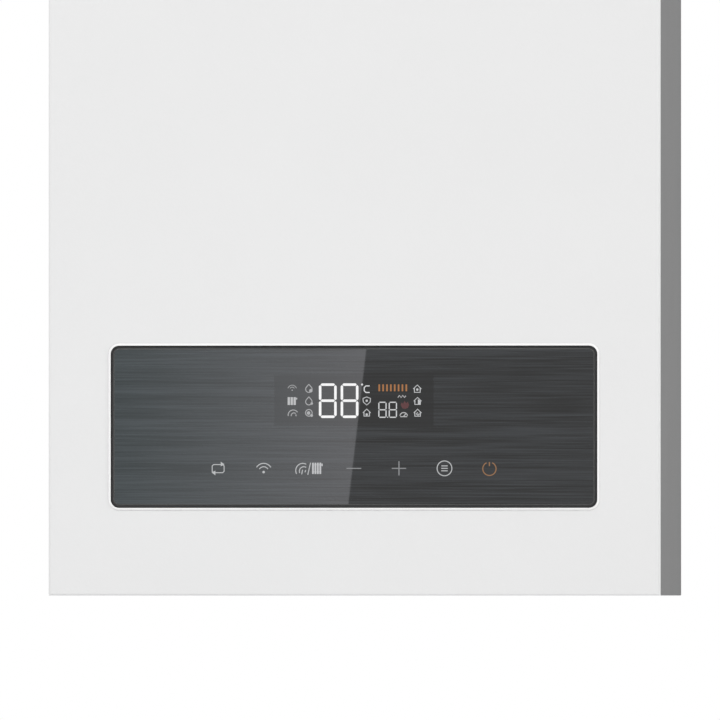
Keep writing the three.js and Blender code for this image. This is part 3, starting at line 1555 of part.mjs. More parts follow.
// The vessel is a flat round drum behind the air chamber, drawn about its own middle
function expansionVessel() {
  const nippleHeight = [-vesselRadius - vesselNippleLength, -vesselRadius + vesselNippleLength];
  let vessel = solid(turnedRound(vesselProfile(0), drumSides));
  vessel = vessel.add(rodZ(vesselNippleRadius, 0, 0, nippleHeight, pipeSides));
  vessel = vessel.subtract(solid(turnedRound(vesselProfile(vesselSheet), drumSides)));
  vessel = vessel.subtract(rodZ(vesselNippleRadius - vesselNippleWall, 0, 0, past(nippleHeight), pipeSides));
  const mesh = piece('expansion_vessel', vessel, 'redPaint');
  mesh.position.set(0, vesselY, vesselHeight);
  return mesh;
}

function vesselHose() {
  const start = vesselHeight - vesselRadius - vesselNippleLength - fitGap;
  const low = start - vesselHoseDrop;
  const x = returnX + hoseBossSide;
  const route = [
    [0, vesselY, start],
    [0, vesselY, low],
    [x, vesselY, low],
    [x, vesselY, hoseBossTop + fitGap],
  ];
  return piece('vessel_hose', bentRod(vesselHoseRadius, route, vesselHoseDrop * hoseBendShare), 'rubber');
}

function fillValve() {
  const y = -fillValveFromWall;
  const flangeHeight = [flangeBottom, flangeBottom + fillFlangeHeight];
  const flange = rodZ(fillFlangeRadius, betweenX, y, flangeHeight, nutSides);
  const neck = rodZ(fillNeckRadius, betweenX, y, [fillNeckEnd, flangeHeight[1]]);
  const stem = rodZ(fillStemRadius, betweenX, y, [fillStemEnd, skirtHeight]);
  return piece('fill_valve', joined([flange, neck, stem]), 'brass');
}

function fillKnob() {
  const y = -fillValveFromWall;
  const top = fillNeckEnd - fitGap;
  let knob = rodZ(fillKnobRadius, betweenX, y, [fillKnobBottom, top], pipeSides);
  const socket = [fillStemEnd - fitGap, top + overrun];
  knob = knob.subtract(rodZ(fillStemRadius + fitGap, betweenX, y, socket));
  return piece('fill_knob', knob, 'bluePlastic');
}

// The gland for the mains cord is clamped through the bottom plate
function cableGland() {
  const y = -glandFromWall;
  const top = flangeBottom + glandTopHeight;
  const lowNut = rodZ(glandNutRadius, -betweenX, y, [glandBottom, skirtHeight - fitGap], nutSides);
  const topNut = rodZ(glandNutRadius, -betweenX, y, [flangeBottom, top], nutSides);
  const neck = rodZ(glandNeckRadius, -betweenX, y, [glandBottom, top]);
  const bore = rodZ(glandBoreRadius, -betweenX, y, past([glandBottom, top]));
  return piece('cable_gland', joined([lowNut, topNut, neck]).subtract(bore), 'blackPlastic');
}

const boiler = groupOf([
  rearFrame(),
  sidePanel('side_panel_left', -1),
  sidePanel('side_panel_right', 1),
  topPanel(),
  bottomPlate(),
  coverRail(),
  coverScrew('cover_screw_left', -1),
  coverScrew('cover_screw_right', 1),
  frontCover(),
  windowRing(),
  controlUnit(),
  airChamber(),
  chamberSeal(),
  chamberLid(),
  sightGlass(),
  firebox(),
  insulation(),
  burner(),
  gasRail(),
  electrode('ignition_electrode', -1),
  electrode('flame_electrode', 1),
  heatExchanger(),
  limitThermostat(),
  flueHood(),
  fan(),
  flueInner(),
  flueCollar(),
  flueGasket(),
  pressureSwitch(),
  pressureTube(),
  flowGroup(),
  diverterActuator(),
  diverterStem(),
  reliefValve(),
  reliefKnob(),
  waterPressureSensor(),
  plateExchanger(),
  pumpHousing(),
  pumpMotor(),
  pumpRotor(),
  airVent(),
  flowSensor(),
  flowTurbine(),
  hotWaterPipe(),
  waterPipe('flow_pipe', -1),
  waterPipe('return_pipe', 1),
  gasValve(),
  gasPipe(),
  expansionVessel(),
  vesselHose(),
  fillValve(),
  fillKnob(),
  cableGland(),
]);
boiler.position.set(0, 0, -bracketAboveRim);

const group = groupOf([wallBracket(), boiler]);

export default group;
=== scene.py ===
from math import atan2, cos, pi, radians, sin, tan
import bmesh
import bpy
from mathutils import Matrix, Vector


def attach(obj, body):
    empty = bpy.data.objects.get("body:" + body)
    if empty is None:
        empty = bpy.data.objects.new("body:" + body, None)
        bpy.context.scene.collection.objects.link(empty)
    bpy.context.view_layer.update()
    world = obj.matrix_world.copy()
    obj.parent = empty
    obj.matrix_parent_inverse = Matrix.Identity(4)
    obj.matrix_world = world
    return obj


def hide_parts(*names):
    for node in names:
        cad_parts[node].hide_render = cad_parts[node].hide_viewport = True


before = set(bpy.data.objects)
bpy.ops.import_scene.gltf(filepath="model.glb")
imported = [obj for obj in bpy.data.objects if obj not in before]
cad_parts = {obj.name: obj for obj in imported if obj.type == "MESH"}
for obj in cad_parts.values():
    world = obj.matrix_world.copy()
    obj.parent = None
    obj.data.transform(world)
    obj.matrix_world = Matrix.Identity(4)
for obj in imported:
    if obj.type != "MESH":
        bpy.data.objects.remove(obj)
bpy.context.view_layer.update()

# ---- The view ----
# The photographer's long lens stands level with the boiler's lower rim, a little to its right, so
# that a narrow strip of the right side shows and nothing of the underside.
rim = -0.65
front = -0.32
view_turn = radians(3.2)
view_target = Vector((0.00399, front, rim + 0.15394))
view_distance = 20.9
view_width = 0.47065

lens = bpy.data.cameras.new("long lens")
lens.sensor_width = 36
lens.lens = lens.sensor_width * view_distance / view_width
lens.clip_start = 1
lens.clip_end = 2000
camera = bpy.data.objects.new("long lens", lens)
camera.location = view_target + view_distance * Vector((sin(view_turn), -cos(view_turn), 0))
camera.location.z = rim
camera.rotation_euler = (radians(90) + atan2(view_target.z - rim, view_distance), 0, view_turn)
scene = bpy.context.scene
scene.collection.objects.link(camera)
scene.camera = camera
scene.view_settings.view_transform = "Standard"

# ---- The studio ----
# A white surround, a wide soft lamp on each side, a pale floor under the boiler and a bright card
# that the control glass mirrors on its left half.


def add(tree, kind, feeds=None, **settings):
    """Adds a node. Its feeds are plain values, outputs, or nodes whose first output is meant"""
    node = tree.nodes.new("ShaderNode" + kind)
    for name, value in settings.items():
        setattr(node, name, value)
    for key, value in (feeds or {}).items():
        if isinstance(value, bpy.types.Node):
            value = value.outputs[0]
        if isinstance(value, bpy.types.NodeSocket):
            tree.links.new(value, node.inputs[key])
        else:
            node.inputs[key].default_value = value
    return node


def math(tree, operation, first, second=0.0):
    """The outcome of one sum on one or two numbers"""
    return add(tree, "Math", {0: first, 1: second}, operation=operation).outputs[0]


def mixed(tree, share, first, second, **settings):
    """A colour between two others"""
    feeds = {0: share, 6: first, 7: second}
    return add(tree, "Mix", feeds, data_type="RGBA", **settings).outputs[2]


def split(tree, kind):
    """The three numbers of the place of a point, or of the direction that its face looks"""
    return add(tree, "SeparateXYZ", {0: add(tree, "TexCoord").outputs[kind]}).outputs


def seen(tree):
    """1 for rays that show a thing, straight, mirrored or through glass, and 0 for its light"""
    rays = add(tree, "LightPath").outputs
    direct = math(tree, "MAXIMUM", rays["Is Camera Ray"], rays["Is Glossy Ray"])
    return math(tree, "MAXIMUM", direct, rays["Is Transmission Ray"])


white = (1, 1, 1, 1)
surround_strength = 0.57
surround = bpy.data.worlds.new("white surround")
surround.use_nodes = True
surround_tree = surround.node_tree
surround_tree.nodes.clear()
surround_mix = add(surround_tree, "MixShader", {
    0: seen(surround_tree),
    1: add(surround_tree, "Background", {"Color": white, "Strength": surround_strength}),
    2: add(surround_tree, "Background", {"Color": white, "Strength": 1.0})})
add(surround_tree, "OutputWorld", {"Surface": surround_mix})
scene.world = surround


def soft_lamp(name, place, aim, width, power):
    """A square lamp that lights the boiler softly and isn't mirrored in it"""
    lamp = bpy.data.lights.new(name, "AREA")
    lamp.shape = "SQUARE"
    lamp.size = width
    lamp.energy = power
    stand = bpy.data.objects.new(name, lamp)
    stand.location = place
    stand.rotation_euler = (Vector(aim) - Vector(place)).to_track_quat("-Z", "Y").to_euler()
    stand.visible_glossy = False
    scene.collection.objects.link(stand)


soft_lamp("front lamp", (-1.4, -3.2, 1.6), (0, -0.3, -0.4), 2.2, 55)
soft_lamp("side lamp", (2.8, -1.2, 0.6), (0, -0.2, -0.3), 1.8, 28)


def staged(name, points, paint):
    """Adds a flat sheet of the studio, which isn't part of the boiler"""
    shape = bmesh.new()
    shape.faces.new([shape.verts.new(point) for point in points])
    mesh = bpy.data.meshes.new(name)
    shape.to_mesh(mesh)
    shape.free()
    mesh.materials.append(paint)
    sheet = bpy.data.objects.new(name, mesh)
    scene.collection.objects.link(sheet)
    return sheet


def painted(name):
    """A new material, with its nodes and its shader"""
    paint = bpy.data.materials.new(name)
    paint.use_nodes = True
    return paint, paint.node_tree, paint.node_tree.nodes["Principled BSDF"]


square = ((-1, -1), (1, -1), (1, 1), (-1, 1))
floor_height = rim - 0.13
floor_half = 1.5
floor_glow = 0.4
floor_paint, floor_tree, floor_shader = painted("pale floor")
floor_shader.inputs["Base Color"].default_value = (0.86, 0.86, 0.86, 1)
floor_shader.inputs["Roughness"].default_value = 0.9
floor_strength = math(floor_tree, "MULTIPLY", seen(floor_tree), floor_glow)
floor_pale = add(floor_tree, "Emission", {"Color": white, "Strength": floor_strength})
floor_side = add(floor_tree, "MixShader", {
    0: add(floor_tree, "NewGeometry").outputs["Backfacing"],
    1: add(floor_tree, "AddShader", {0: floor_shader, 1: floor_pale}),
    2: add(floor_tree, "BsdfTransparent")})
floor_tree.links.new(floor_side.outputs[0], floor_tree.nodes["Material Output"].inputs["Surface"])
staged("floor", [(i * floor_half, j * floor_half, floor_height) for i, j in square], floor_paint)

card_distance = 1.0
card_shift = -card_distance * tan(view_turn)
card_paint, card_tree = painted("bright card")[:2]
card_tree.nodes.clear()
card_share = add(card_tree, "MapRange", {
    "Value": split(card_tree, "Object")["X"], "From Min": -0.22, "From Max": -0.045})
card_colour = mixed(card_tree, card_share, (1.42, 1.64, 1.71, 1), (2.88, 2.87, 2.97, 1))
card_light = add(card_tree, "Emission", {"Color": card_colour, "Strength": 1.0})
add(card_tree, "OutputMaterial", {"Surface": card_light})
card_left, card_low, card_high = -0.36, 0.037, 0.207
card_outline = [
    (card_left, card_high), (0.0127, card_high), (-0.007, card_low), (card_left, card_low)]
card = staged("bright card", [
    (x + card_shift, front - card_distance, rim + z) for x, z in card_outline], card_paint)
card.visible_camera = False
card.visible_diffuse = False
card.visible_shadow = False
card.visible_transmission = False

# ---- Wall bracket and rear frame ----
# A strip of zinc-coated steel is screwed to the wall, and its two hooks carry the boiler. The
# frame behind the boiler, a plate of the same sheet, hangs on them by two slots.


def empty_effect(name, inputs, outputs):
    """A node group with those sockets, and the ends that it takes from and gives to"""
    group = bpy.data.node_groups.new(name, "ShaderNodeTree")
    for way, labels in (("INPUT", inputs), ("OUTPUT", outputs)):
        for label in labels:
            kind = "NodeSocketColor" if "Colour" in label else "NodeSocketFloat"
            group.interface.new_socket(label, in_out=way, socket_type=kind)
    taken = group.nodes.new("NodeGroupInput").outputs
    return group, taken, group.nodes.new("NodeGroupOutput").inputs


def skin(name, pattern):
    """A surface effect. Its pattern gives a share of colours, a change in roughness, a height"""
    group, taken, given = empty_effect(name, ("Colour", "Second Colour", "Roughness", "Scale"),
        ("Colour", "Roughness", "Height"))
    place = add(group, "TexCoord").outputs["Object"]
    share, rough, height = pattern(group, place, taken["Scale"])
    group.links.new(mixed(group, share, taken["Colour"], taken["Second Colour"]), given["Colour"])
    group.links.new(math(group, "ADD", taken["Roughness"], rough), given["Roughness"])
    group.links.new(height, given["Height"])
    return group


def stretched(group, place, size):
    """The place on the surface, scaled apart on each axis"""
    return add(group, "Mapping", {"Vector": place, "Scale": size}).outputs[0]


def noise(group, place, scale, detail=2.0):
    """Soft random values between 0 and 1"""
    return add(group, "TexNoise", {"Vector": place, "Scale": scale, "Detail": detail}).outputs[0]


def spread(group, value, low, high, floor=0.0, top=1.0):
    """The value, with its stretch from low to high carried over to floor to top"""
    return add(group, "MapRange", {"Value": value, "From Min": low, "From Max": high,
        "To Min": floor, "To Max": top}).outputs[0]


def summed(group, first, weight, second, other):
    """The sum of two values, each times its weight"""
    first = math(group, "MULTIPLY", first, weight)
    return math(group, "ADD", first, math(group, "MULTIPLY", second, other))


def spangle(group, place, scale):
    """Zinc on dipped steel: flat crystals, each with a shine of its own"""
    crystals = add(group, "TexVoronoi", {"Vector": place, "Scale": scale})
    shade = add(group, "SeparateColor", {0: crystals.outputs["Color"]}).outputs[0]
    fine = noise(group, place, 900.0, 3.0)
    share = math(group, "ADD", shade, math(group, "MULTIPLY", fine, 0.5))
    return spread(group, share, 0.1, 1.4), spread(group, shade, 0.0, 1.0, -0.06, 0.09), fine


def worn(tree, effect, colour, second, roughness, scale):
    """Puts a surface effect, in cells a metre, into a material"""
    return add(tree, "Group", {
        "Colour": (*colour, 1), "Second Colour": (*second, 1), "Roughness": roughness,
        "Scale": scale}, node_tree=effect).outputs


def finished(name, slot, effect, colour, second, roughness, scale, relief, dust=0.0, **sockets):
    """A material that wears a surface effect, with its relief in millimetres"""
    paint, tree, shader = painted(name)
    for socket, value in sockets.items():
        shader.inputs[socket.replace("_", " ")].default_value = value
    bare = worn(tree, effect, colour, second, roughness, scale)
    top = bare
    if dust:
        top = add(tree, "Group", {
            "Colour": bare["Colour"], "Roughness": bare["Roughness"], "Amount": dust},
            node_tree=dust_film).outputs
    tree.links.new(top["Colour"], shader.inputs["Base Color"])
    tree.links.new(top["Roughness"], shader.inputs["Roughness"])
    bump = add(tree, "Bump", {"Height": bare["Height"], "Strength": 1.0, "Distance": relief / 1000})
    tree.links.new(bump.outputs[0], shader.inputs["Normal"])
    return paint


def settled_dust():
    """A thin pale film on faces that look up, with uneven edges"""
    group, taken, given = empty_effect("settled dust", ("Colour", "Roughness", "Amount"),
        ("Colour", "Roughness"))
    coords = add(group, "TexCoord").outputs
    upward = add(group, "SeparateXYZ", {0: coords["Normal"]}).outputs["Z"]
    patch = noise(group, coords["Object"], 35.0, 4.0)
    patch = spread(group, patch, 0.3, 0.7, 0.4, 1.0)
    lying = math(group, "MULTIPLY", spread(group, upward, 0.4, 1.0), patch)
    lying = math(group, "MULTIPLY", lying, taken["Amount"])
    group.links.new(mixed(group, lying, taken["Colour"], (0.55, 0.53, 0.5, 1)), given["Colour"])
    rough = math(group, "ADD", taken["Roughness"], math(group, "MULTIPLY", lying, 0.4))
    group.links.new(rough, given["Roughness"])
    return group


dust_film = settled_dust()
zinc_effect = skin("zinc spangle", spangle)
zinc = finished("zinc-coated sheet", "zinc_steel", zinc_effect, (0.62, 0.64, 0.66),
    (0.78, 0.8, 0.82), 0.36, 130.0, 0.006, dust=0.12, Metallic=1.0)


def dress(paint, *nodes):
    """Gives CAD nodes that keep their shape a better material"""
    for name in nodes:
        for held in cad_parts[name].material_slots:
            held.material = paint


dress(zinc, "wall_bracket", "rear_frame")
drawn = bmesh.new()


def block(x, y, z):
    """Draws a block between two values on each axis, in millimetres above the casing's rim"""
    size = Matrix.Diagonal((x[1] - x[0], y[1] - y[0], z[1] - z[0], 1))
    middle = Matrix.Translation(((x[0] + x[1]) / 2, (y[0] + y[1]) / 2, (z[0] + z[1]) / 2))
    bmesh.ops.create_cube(drawn, size=1, matrix=middle @ size)


def bevelled(geom, width, segments, affect="EDGES", clamp_overlap=False):
    """Rounds edges, or else corners"""
    bmesh.ops.bevel(drawn, geom=geom, offset=width, offset_type="OFFSET", affect=affect,
        segments=segments, profile=0.5, material=-1, clamp_overlap=clamp_overlap)


def welded():
    """Joins the corners that meet and turns all faces outward"""
    bmesh.ops.remove_doubles(drawn, verts=drawn.verts, dist=1e-3)
    bmesh.ops.recalc_face_normals(drawn, faces=drawn.faces)


def soften(width, segments=3, angle=32):
    """Rounds the sharp edges of what is drawn so far"""
    welded()
    folds = [e for e in drawn.edges if len(e.link_faces) == 2]
    sharp = [e for e in folds if e.calc_face_angle(0) > radians(angle)]
    bevelled(sharp, width, segments, clamp_overlap=True)


def direction(axis):
    """The unit vector of an axis"""
    return Vector([float(letter == axis) for letter in "XYZ"])


def turned(profile, middle, axis, steps=48, closed=False):
    """Draws a round body: pairs of radius and place along the axis, spun about it"""
    along = direction(axis)
    outward = Vector((0, 1, 0)) if axis == "X" else Vector((1, 0, 0))
    places = [Vector(middle) + outward * radius + along * place for radius, place in profile]
    points = [drawn.verts.new(place) for place in places]
    pairs = zip(points, points[1:] + points[:1]) if closed else zip(points, points[1:])
    edges = [drawn.edges.new(pair) for pair in pairs]
    bmesh.ops.spin(drawn, geom=points + edges, cent=middle, axis=along, dvec=(0, 0, 0),
        angle=2 * pi, steps=steps, use_merge=True, use_duplicate=False)


def rod(radius, start, end, sides=32, tip=None):
    """Draws a round or many-sided bar between two points. A tip is the radius at its end"""
    run = Vector(end) - Vector(start)
    facing = run.to_track_quat("Z", "Y").to_matrix().to_4x4()
    place = Matrix.Translation((Vector(start) + Vector(end)) / 2) @ facing
    bmesh.ops.create_cone(
        drawn, cap_ends=True, segments=sides, radius1=radius, radius2=tip or radius,
        depth=run.length, matrix=place)


def made(name, paint, *nodes, body="chassis", edge=0.0, segments=3, wall=0.0):
    """Ends what is drawn as a piece in metres that rides on a body and stands for those nodes"""
    global drawn
    if edge:
        soften(edge, segments)
    welded()
    bmesh.ops.transform(drawn, matrix=Matrix.Translation((0, 0, rim)) @ Matrix.Scale(0.001, 4),
        verts=drawn.verts)
    mesh = bpy.data.meshes.new(name)
    drawn.to_mesh(mesh)
    drawn.free()
    drawn = bmesh.new()
    mesh.shade_smooth()
    mesh.set_sharp_from_angle(angle=radians(42))
    mesh.materials.append(paint)
    piece = bpy.data.objects.new(name, mesh)
    scene.collection.objects.link(piece)
    if wall:
        sheet = piece.modifiers.new("sheet", "SOLIDIFY")
        sheet.thickness = wall / 1000
        sheet.offset = -1
        sheet.use_even_offset = True
    even = piece.modifiers.new("even shading", "WEIGHTED_NORMAL")
    even.keep_sharp = True
    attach(piece, body)
    if nodes:
        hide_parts(*nodes)


def pan_head(x, y, z, axis, radius=3.2, rise=1.6):
    """Draws a small pan-head screw with a sunk middle, standing out along the axis"""
    if axis.startswith("-"):
        rise = -rise
    turned([(0, rise * 0.45), (radius * 0.16, rise * 0.45), (radius * 0.3, rise),
        (radius * 0.62, rise), (radius * 0.92, rise * 0.7), (radius, rise * 0.2), (radius, 0),
        (0, 0)], (x, y, z), axis[-1], steps=20)


flange_middle = 188
for side in (-1, 1):
    for height in (90, 260, 430, 600):
        pan_head(side * flange_middle, -11.9, height, "Y", radius=3.4, rise=1.5)
made("rear_frame_screws", zinc)

# ---- Side panels ----
# Folded sheet steel in mid-grey powder coat, with a flange at the front that the cover meets and
# one at the rear that is screwed to the frame.


def peel(group, place, scale):
    """Powder coat: a fine orange-peel relief and barely uneven colour"""
    fine = noise(group, place, scale, 1.5)
    slow = noise(group, place, 14.0, 3.0)
    share = spread(group, summed(group, slow, 0.7, fine, 0.3), 0.35, 0.65)
    return share, spread(group, fine, 0.3, 0.7, -0.04, 0.04), fine


peel_effect = skin("powder coat", peel)
grey_coat = finished("grey powder coat", "grey_coat", peel_effect, (0.202, 0.202, 0.202),
    (0.21, 0.21, 0.21), 0.75, 620.0, 0.03, Specular_IOR_Level=0.2)


def grow(shift, face=None, edges=None):
    """Extrudes a face, or else edges, by a step"""
    if face:
        grown = bmesh.ops.extrude_face_region(drawn, geom=[face])["geom"]
    else:
        grown = bmesh.ops.extrude_edge_only(drawn, edges=edges)["geom"]
    moved = [g for g in grown if isinstance(g, bmesh.types.BMVert)]
    bmesh.ops.translate(drawn, vec=shift, verts=moved)


def outline(points, low, high):
    """Draws an upright prism from an outline of points across and deep"""
    grow((0, 0, high - low), drawn.faces.new([drawn.verts.new((x, y, low)) for x, y in points]))


for side, name in ((-1, "left"), (1, "right")):
    outline([(side * x, y) for x, y in ((199.5, -304.7), (199.5, -0.3), (198.3, -0.3),
        (198.3, -10.5), (184.5, -10.5), (184.5, -11.7), (198.3, -11.7), (198.3, -303.5),
        (191.5, -303.5), (191.5, -304.7))], 0, 718.5)
    made(f"side_sheet_{name}", grey_coat, f"side_panel_{name}", edge=0.5)

# ---- Top panel ----
# Grey coated sheet with the flue hole. Two lugs reach forward and carry the top of the cover, and
# six screws hold it to the side panels.
dress(grey_coat, "top_panel")
casing_top = 720
for side in (-1, 1):
    for depth in (-290, -160, -30):
        pan_head(side * flange_middle, depth, casing_top, "Z")
made("top_panel_screws", zinc)

# ---- Bottom plate and cover rail ----
# Zinc-coated sheet with flanges turned down and a hole for each connection. The rail under it
# holds the two screws of the cover, and two ears on the plate carry the hinge of the controls.
dress(zinc, "bottom_plate", "cover_rail")
steel_screw = finished("zinc-plated screw", "zinc_steel", zinc_effect, (0.66, 0.67, 0.69),
    (0.74, 0.75, 0.77), 0.27, 900.0, 0.002, Metallic=1.0)
cover_screw_place = 150


def thread(radius, start, end, pitch=1.8, depth=0.9):
    """Pairs of radius and place for the crests and roots of a thread"""
    pairs = []
    for i in range(int((end - start) / pitch)):
        crest, root = start + i * pitch, radius - depth
        pairs += [(radius, crest + 0.25), (radius, crest + 0.6)]
        pairs += [(root, start + (i + share) * pitch) for share in (0.62, 0.78)]
    return pairs


for side, name in ((-1, "left"), (1, "right")):
    turned([(0, 18.2), (1.0, 18.2), (2.6, 16.7), (4.4, 16.7), (5.6, 17.3), (6, 18.4), (6, 19.7),
        (2.2, 19.7), *thread(2.2, 20.2, 27.4, 0.9, 0.35), (2.0, 27.8), (1.2, 28.7), (0, 28.7)],
        (side * cover_screw_place, -306, 0), "Z", steps=32)
    made(f"rail_screw_{name}", steel_screw, f"cover_screw_{name}")

# ---- Front cover ----
# A pan of 1 mm sheet steel in white powder coat, folded back 15 mm all round, with a window for
# the controls. It hangs on the lugs of the top panel and is screwed to the rail by two tabs.
white_coat = finished("white powder coat", "white_coat", peel_effect, (0.82, 0.82, 0.82),
    (0.83, 0.83, 0.83), 0.4, 620.0, 0.03)


def rounded_face(width, height, radius, middle, depth, steps=8):
    """Draws an upright rectangle with round corners, and gives its face"""
    known = set(drawn.faces)
    corners = [drawn.verts.new((i * width / 2, depth, middle + j * height / 2)) for i, j in square]
    drawn.faces.new(corners)
    bevelled(corners, radius, steps, affect="VERTICES")
    return [face for face in drawn.faces if face not in known][0]


def rounded_edges(*sizes):
    """Draws a rectangle with round corners, and gives only its edges"""
    face = rounded_face(*sizes)
    edges = list(face.edges)
    bmesh.ops.delete(drawn, geom=[face], context="FACES_ONLY")
    return edges


window_middle = 110.3
cover_face = -320
cover_half = 200
window_edges = rounded_edges(320.3, 107.8, 6.3, window_middle, cover_face)
corners = [drawn.verts.new((x, cover_face, z)) for x, z in (
    (-cover_half, 0), (cover_half, 0), (cover_half, casing_top), (-cover_half, casing_top))]
front_edges = [drawn.edges.new(pair) for pair in zip(corners, corners[1:] + corners[:1])]
bmesh.ops.triangle_fill(
    drawn, use_beauty=True, use_dissolve=False, edges=window_edges + front_edges)


def at_rim(corner):
    """Whether it lies on the outer rim of the cover"""
    return abs(corner.co.x) > cover_half - 1 or not 1 < corner.co.z < casing_top - 1


grow((0, 15, 0), edges=[
    e for e in drawn.edges if e.is_boundary and all(at_rim(v) for v in e.verts)])
grow((0, 0.4, 0), edges=[
    e for e in drawn.edges if e.is_boundary and all(v.co.y < cover_face + 1 for v in e.verts)])
bmesh.ops.recalc_face_normals(drawn, faces=drawn.faces)
folds = [
    e for e in drawn.edges if all(v.co.y < cover_face + 0.1 for v in e.verts)
    and len(e.link_faces) == 2 and e.calc_face_angle(0) > radians(60)
    and (max(abs(v.co.x) for v in e.verts) > cover_half - 1 or min(v.co.z for v in e.verts) < 1)]
bevelled(folds, 1.6, 5)
made("cover_sheet", white_coat, "front_cover", body="front_cover", wall=1.0)

for side in (-1, 1):
    outline([(side * cover_screw_place + x, y) for x, y in ((-12, -319), (12, -319), (12, -300),
        (2.5, -300), (2.5, -308.5), (-2.5, -308.5), (-2.5, -300), (-12, -300))], 19.95, 21.45)
made("cover_tabs", white_coat, body="front_cover", edge=0.3)

# ---- Window ring ----
# A frame of white plastic, moulded in one piece, lines the window of the cover and is clipped to
# it from behind. Only its thin rounded lip shows.


def moulded(group, place, scale):
    """Moulded plastic: a fine even grain from the tool, and faint flow lines"""
    grain = noise(group, place, scale, 2.0)
    flow = noise(group, stretched(group, place, (6, 40, 40)), 1.0, 3.0)
    share = spread(group, summed(group, flow, 0.6, grain, 0.4), 0.3, 0.7)
    return share, spread(group, grain, 0.3, 0.7, -0.05, 0.05), grain


moulded_effect = skin("moulded grain", moulded)
white_plastic = finished("white moulding", "white_plastic", moulded_effect, (0.96, 0.96, 0.955),
    (0.94, 0.94, 0.935), 0.3, 1500.0, 0.008)


def rounded_strip(width, height, radius, middle, profile):
    """Draws a strip round a rectangle. Its profile has pairs of step outward and depth"""
    loops = [rounded_edges(width + 2 * step, height + 2 * step, radius + step, middle, depth)
        for step, depth in profile]
    for near, far in zip(loops, loops[1:] + loops[:1]):
        bmesh.ops.bridge_loops(drawn, edges=near + far)


rounded_strip(318.5, 106, 5.4, window_middle, [(0, -320.6), (0.05, -320.78), (0.2, -320.88),
    (0.4, -320.9), (0.7, -320.87), (1.05, -320.74), (1.35, -320.52), (1.5, -320.36), (1.46, -320.3),
    (0.6, -320.3), (0.6, -318.8), (0, -318.8)])
made("window_frame", white_plastic, "window_ring", body="front_cover")

# ---- Control glass ----
# Tempered glass with a dark brushed film behind it and a fine ground edge, whose pale grey is
# partly the ground finish and partly a painted highlight. The display's window in the film is a
# little darker.


def brushed(group, place, _):
    """Brushed metal or film: long thin streaks side by side, always of the same size"""
    long = noise(group, stretched(group, place, (12, 300, 860)), 1.0, 2.0)
    short = noise(group, stretched(group, place, (26, 900, 1500)), 1.0, 1.0)
    wide = noise(group, stretched(group, place, (4, 60, 190)), 1.0, 1.0)
    streaks = summed(group, summed(group, long, 0.7, short, 0.3), 0.72, wide, 0.28)
    return spread(group, streaks, 0.4, 0.6), spread(group, short, 0.3, 0.7, -0.03, 0.03), streaks


brushed_effect = skin("brushed grain", brushed)
display_half_width, display_half_height, display_middle = 0.0522, 0.0165, 0.1275
film, film_tree, film_shader = painted("glass over brushed film")
film_shader.inputs["IOR"].default_value = 1.5
film_grain = worn(
    film_tree, brushed_effect, (0.001, 0.0012, 0.0014), (0.0258, 0.0292, 0.0328), 0.0, 1.0)
film_place = split(film_tree, "Object")
film_level = math(film_tree, "ADD", film_place["Z"], -rim - display_middle)
across_display = math(film_tree, "SUBTRACT", math(film_tree, "ABSOLUTE", film_place["X"]),
    display_half_width)
up_display = math(film_tree, "SUBTRACT", math(film_tree, "ABSOLUTE", film_level),
    display_half_height)
outside_display = math(film_tree, "MAXIMUM", across_display, up_display)
display_mask = spread(film_tree, outside_display, -0.0005, 0.0005, 0.3, 1.0)
film_colour = mixed(film_tree, 1.0, film_grain["Colour"], display_mask, blend_type="MULTIPLY")
film_facing = split(film_tree, "Normal")["Y"]
# The bevel round the glass is mixed towards a pale grey: partly the ground finish of its edge,
# partly a painted highlight along it.
ground_edge_and_highlight = spread(film_tree, math(film_tree, "ABSOLUTE", film_facing), 0.97, 0.8)
film_edge_and_highlight = mixed(film_tree, ground_edge_and_highlight, film_colour, (0.095, 0.095, 0.095, 1))
film_tree.links.new(film_edge_and_highlight, film_shader.inputs["Base Color"])
film_tree.links.new(spread(film_tree, ground_edge_and_highlight, 0.0, 1.0, 0.012, 0.35),
    film_shader.inputs["Roughness"])
glass_width, glass_height, glass_corner = 316.1, 103.6, 4.2
grow((0, 4, 0), rounded_face(glass_width, glass_height, glass_corner, window_middle, cover_face))
made("glass_panel", film, "control_glass", body="control_unit", edge=1.2, segments=1)

# ---- Printed and lit signs ----
# Touch keys and the display shine through clear places in the film. Each sign is drawn in thin
# lines or filled outlines, and glows evenly on the face of the glass.


def arc(x, z, radius, start, end, steps=10):
    """Points on a part of a circle, from one angle to the other in degrees"""
    turns = [radians(start + (end - start) * i / steps) for i in range(steps + 1)]
    return [(x + radius * cos(turn), z + radius * sin(turn)) for turn in turns]


sign_plane = -0.32004
sign_depth = 0.0001


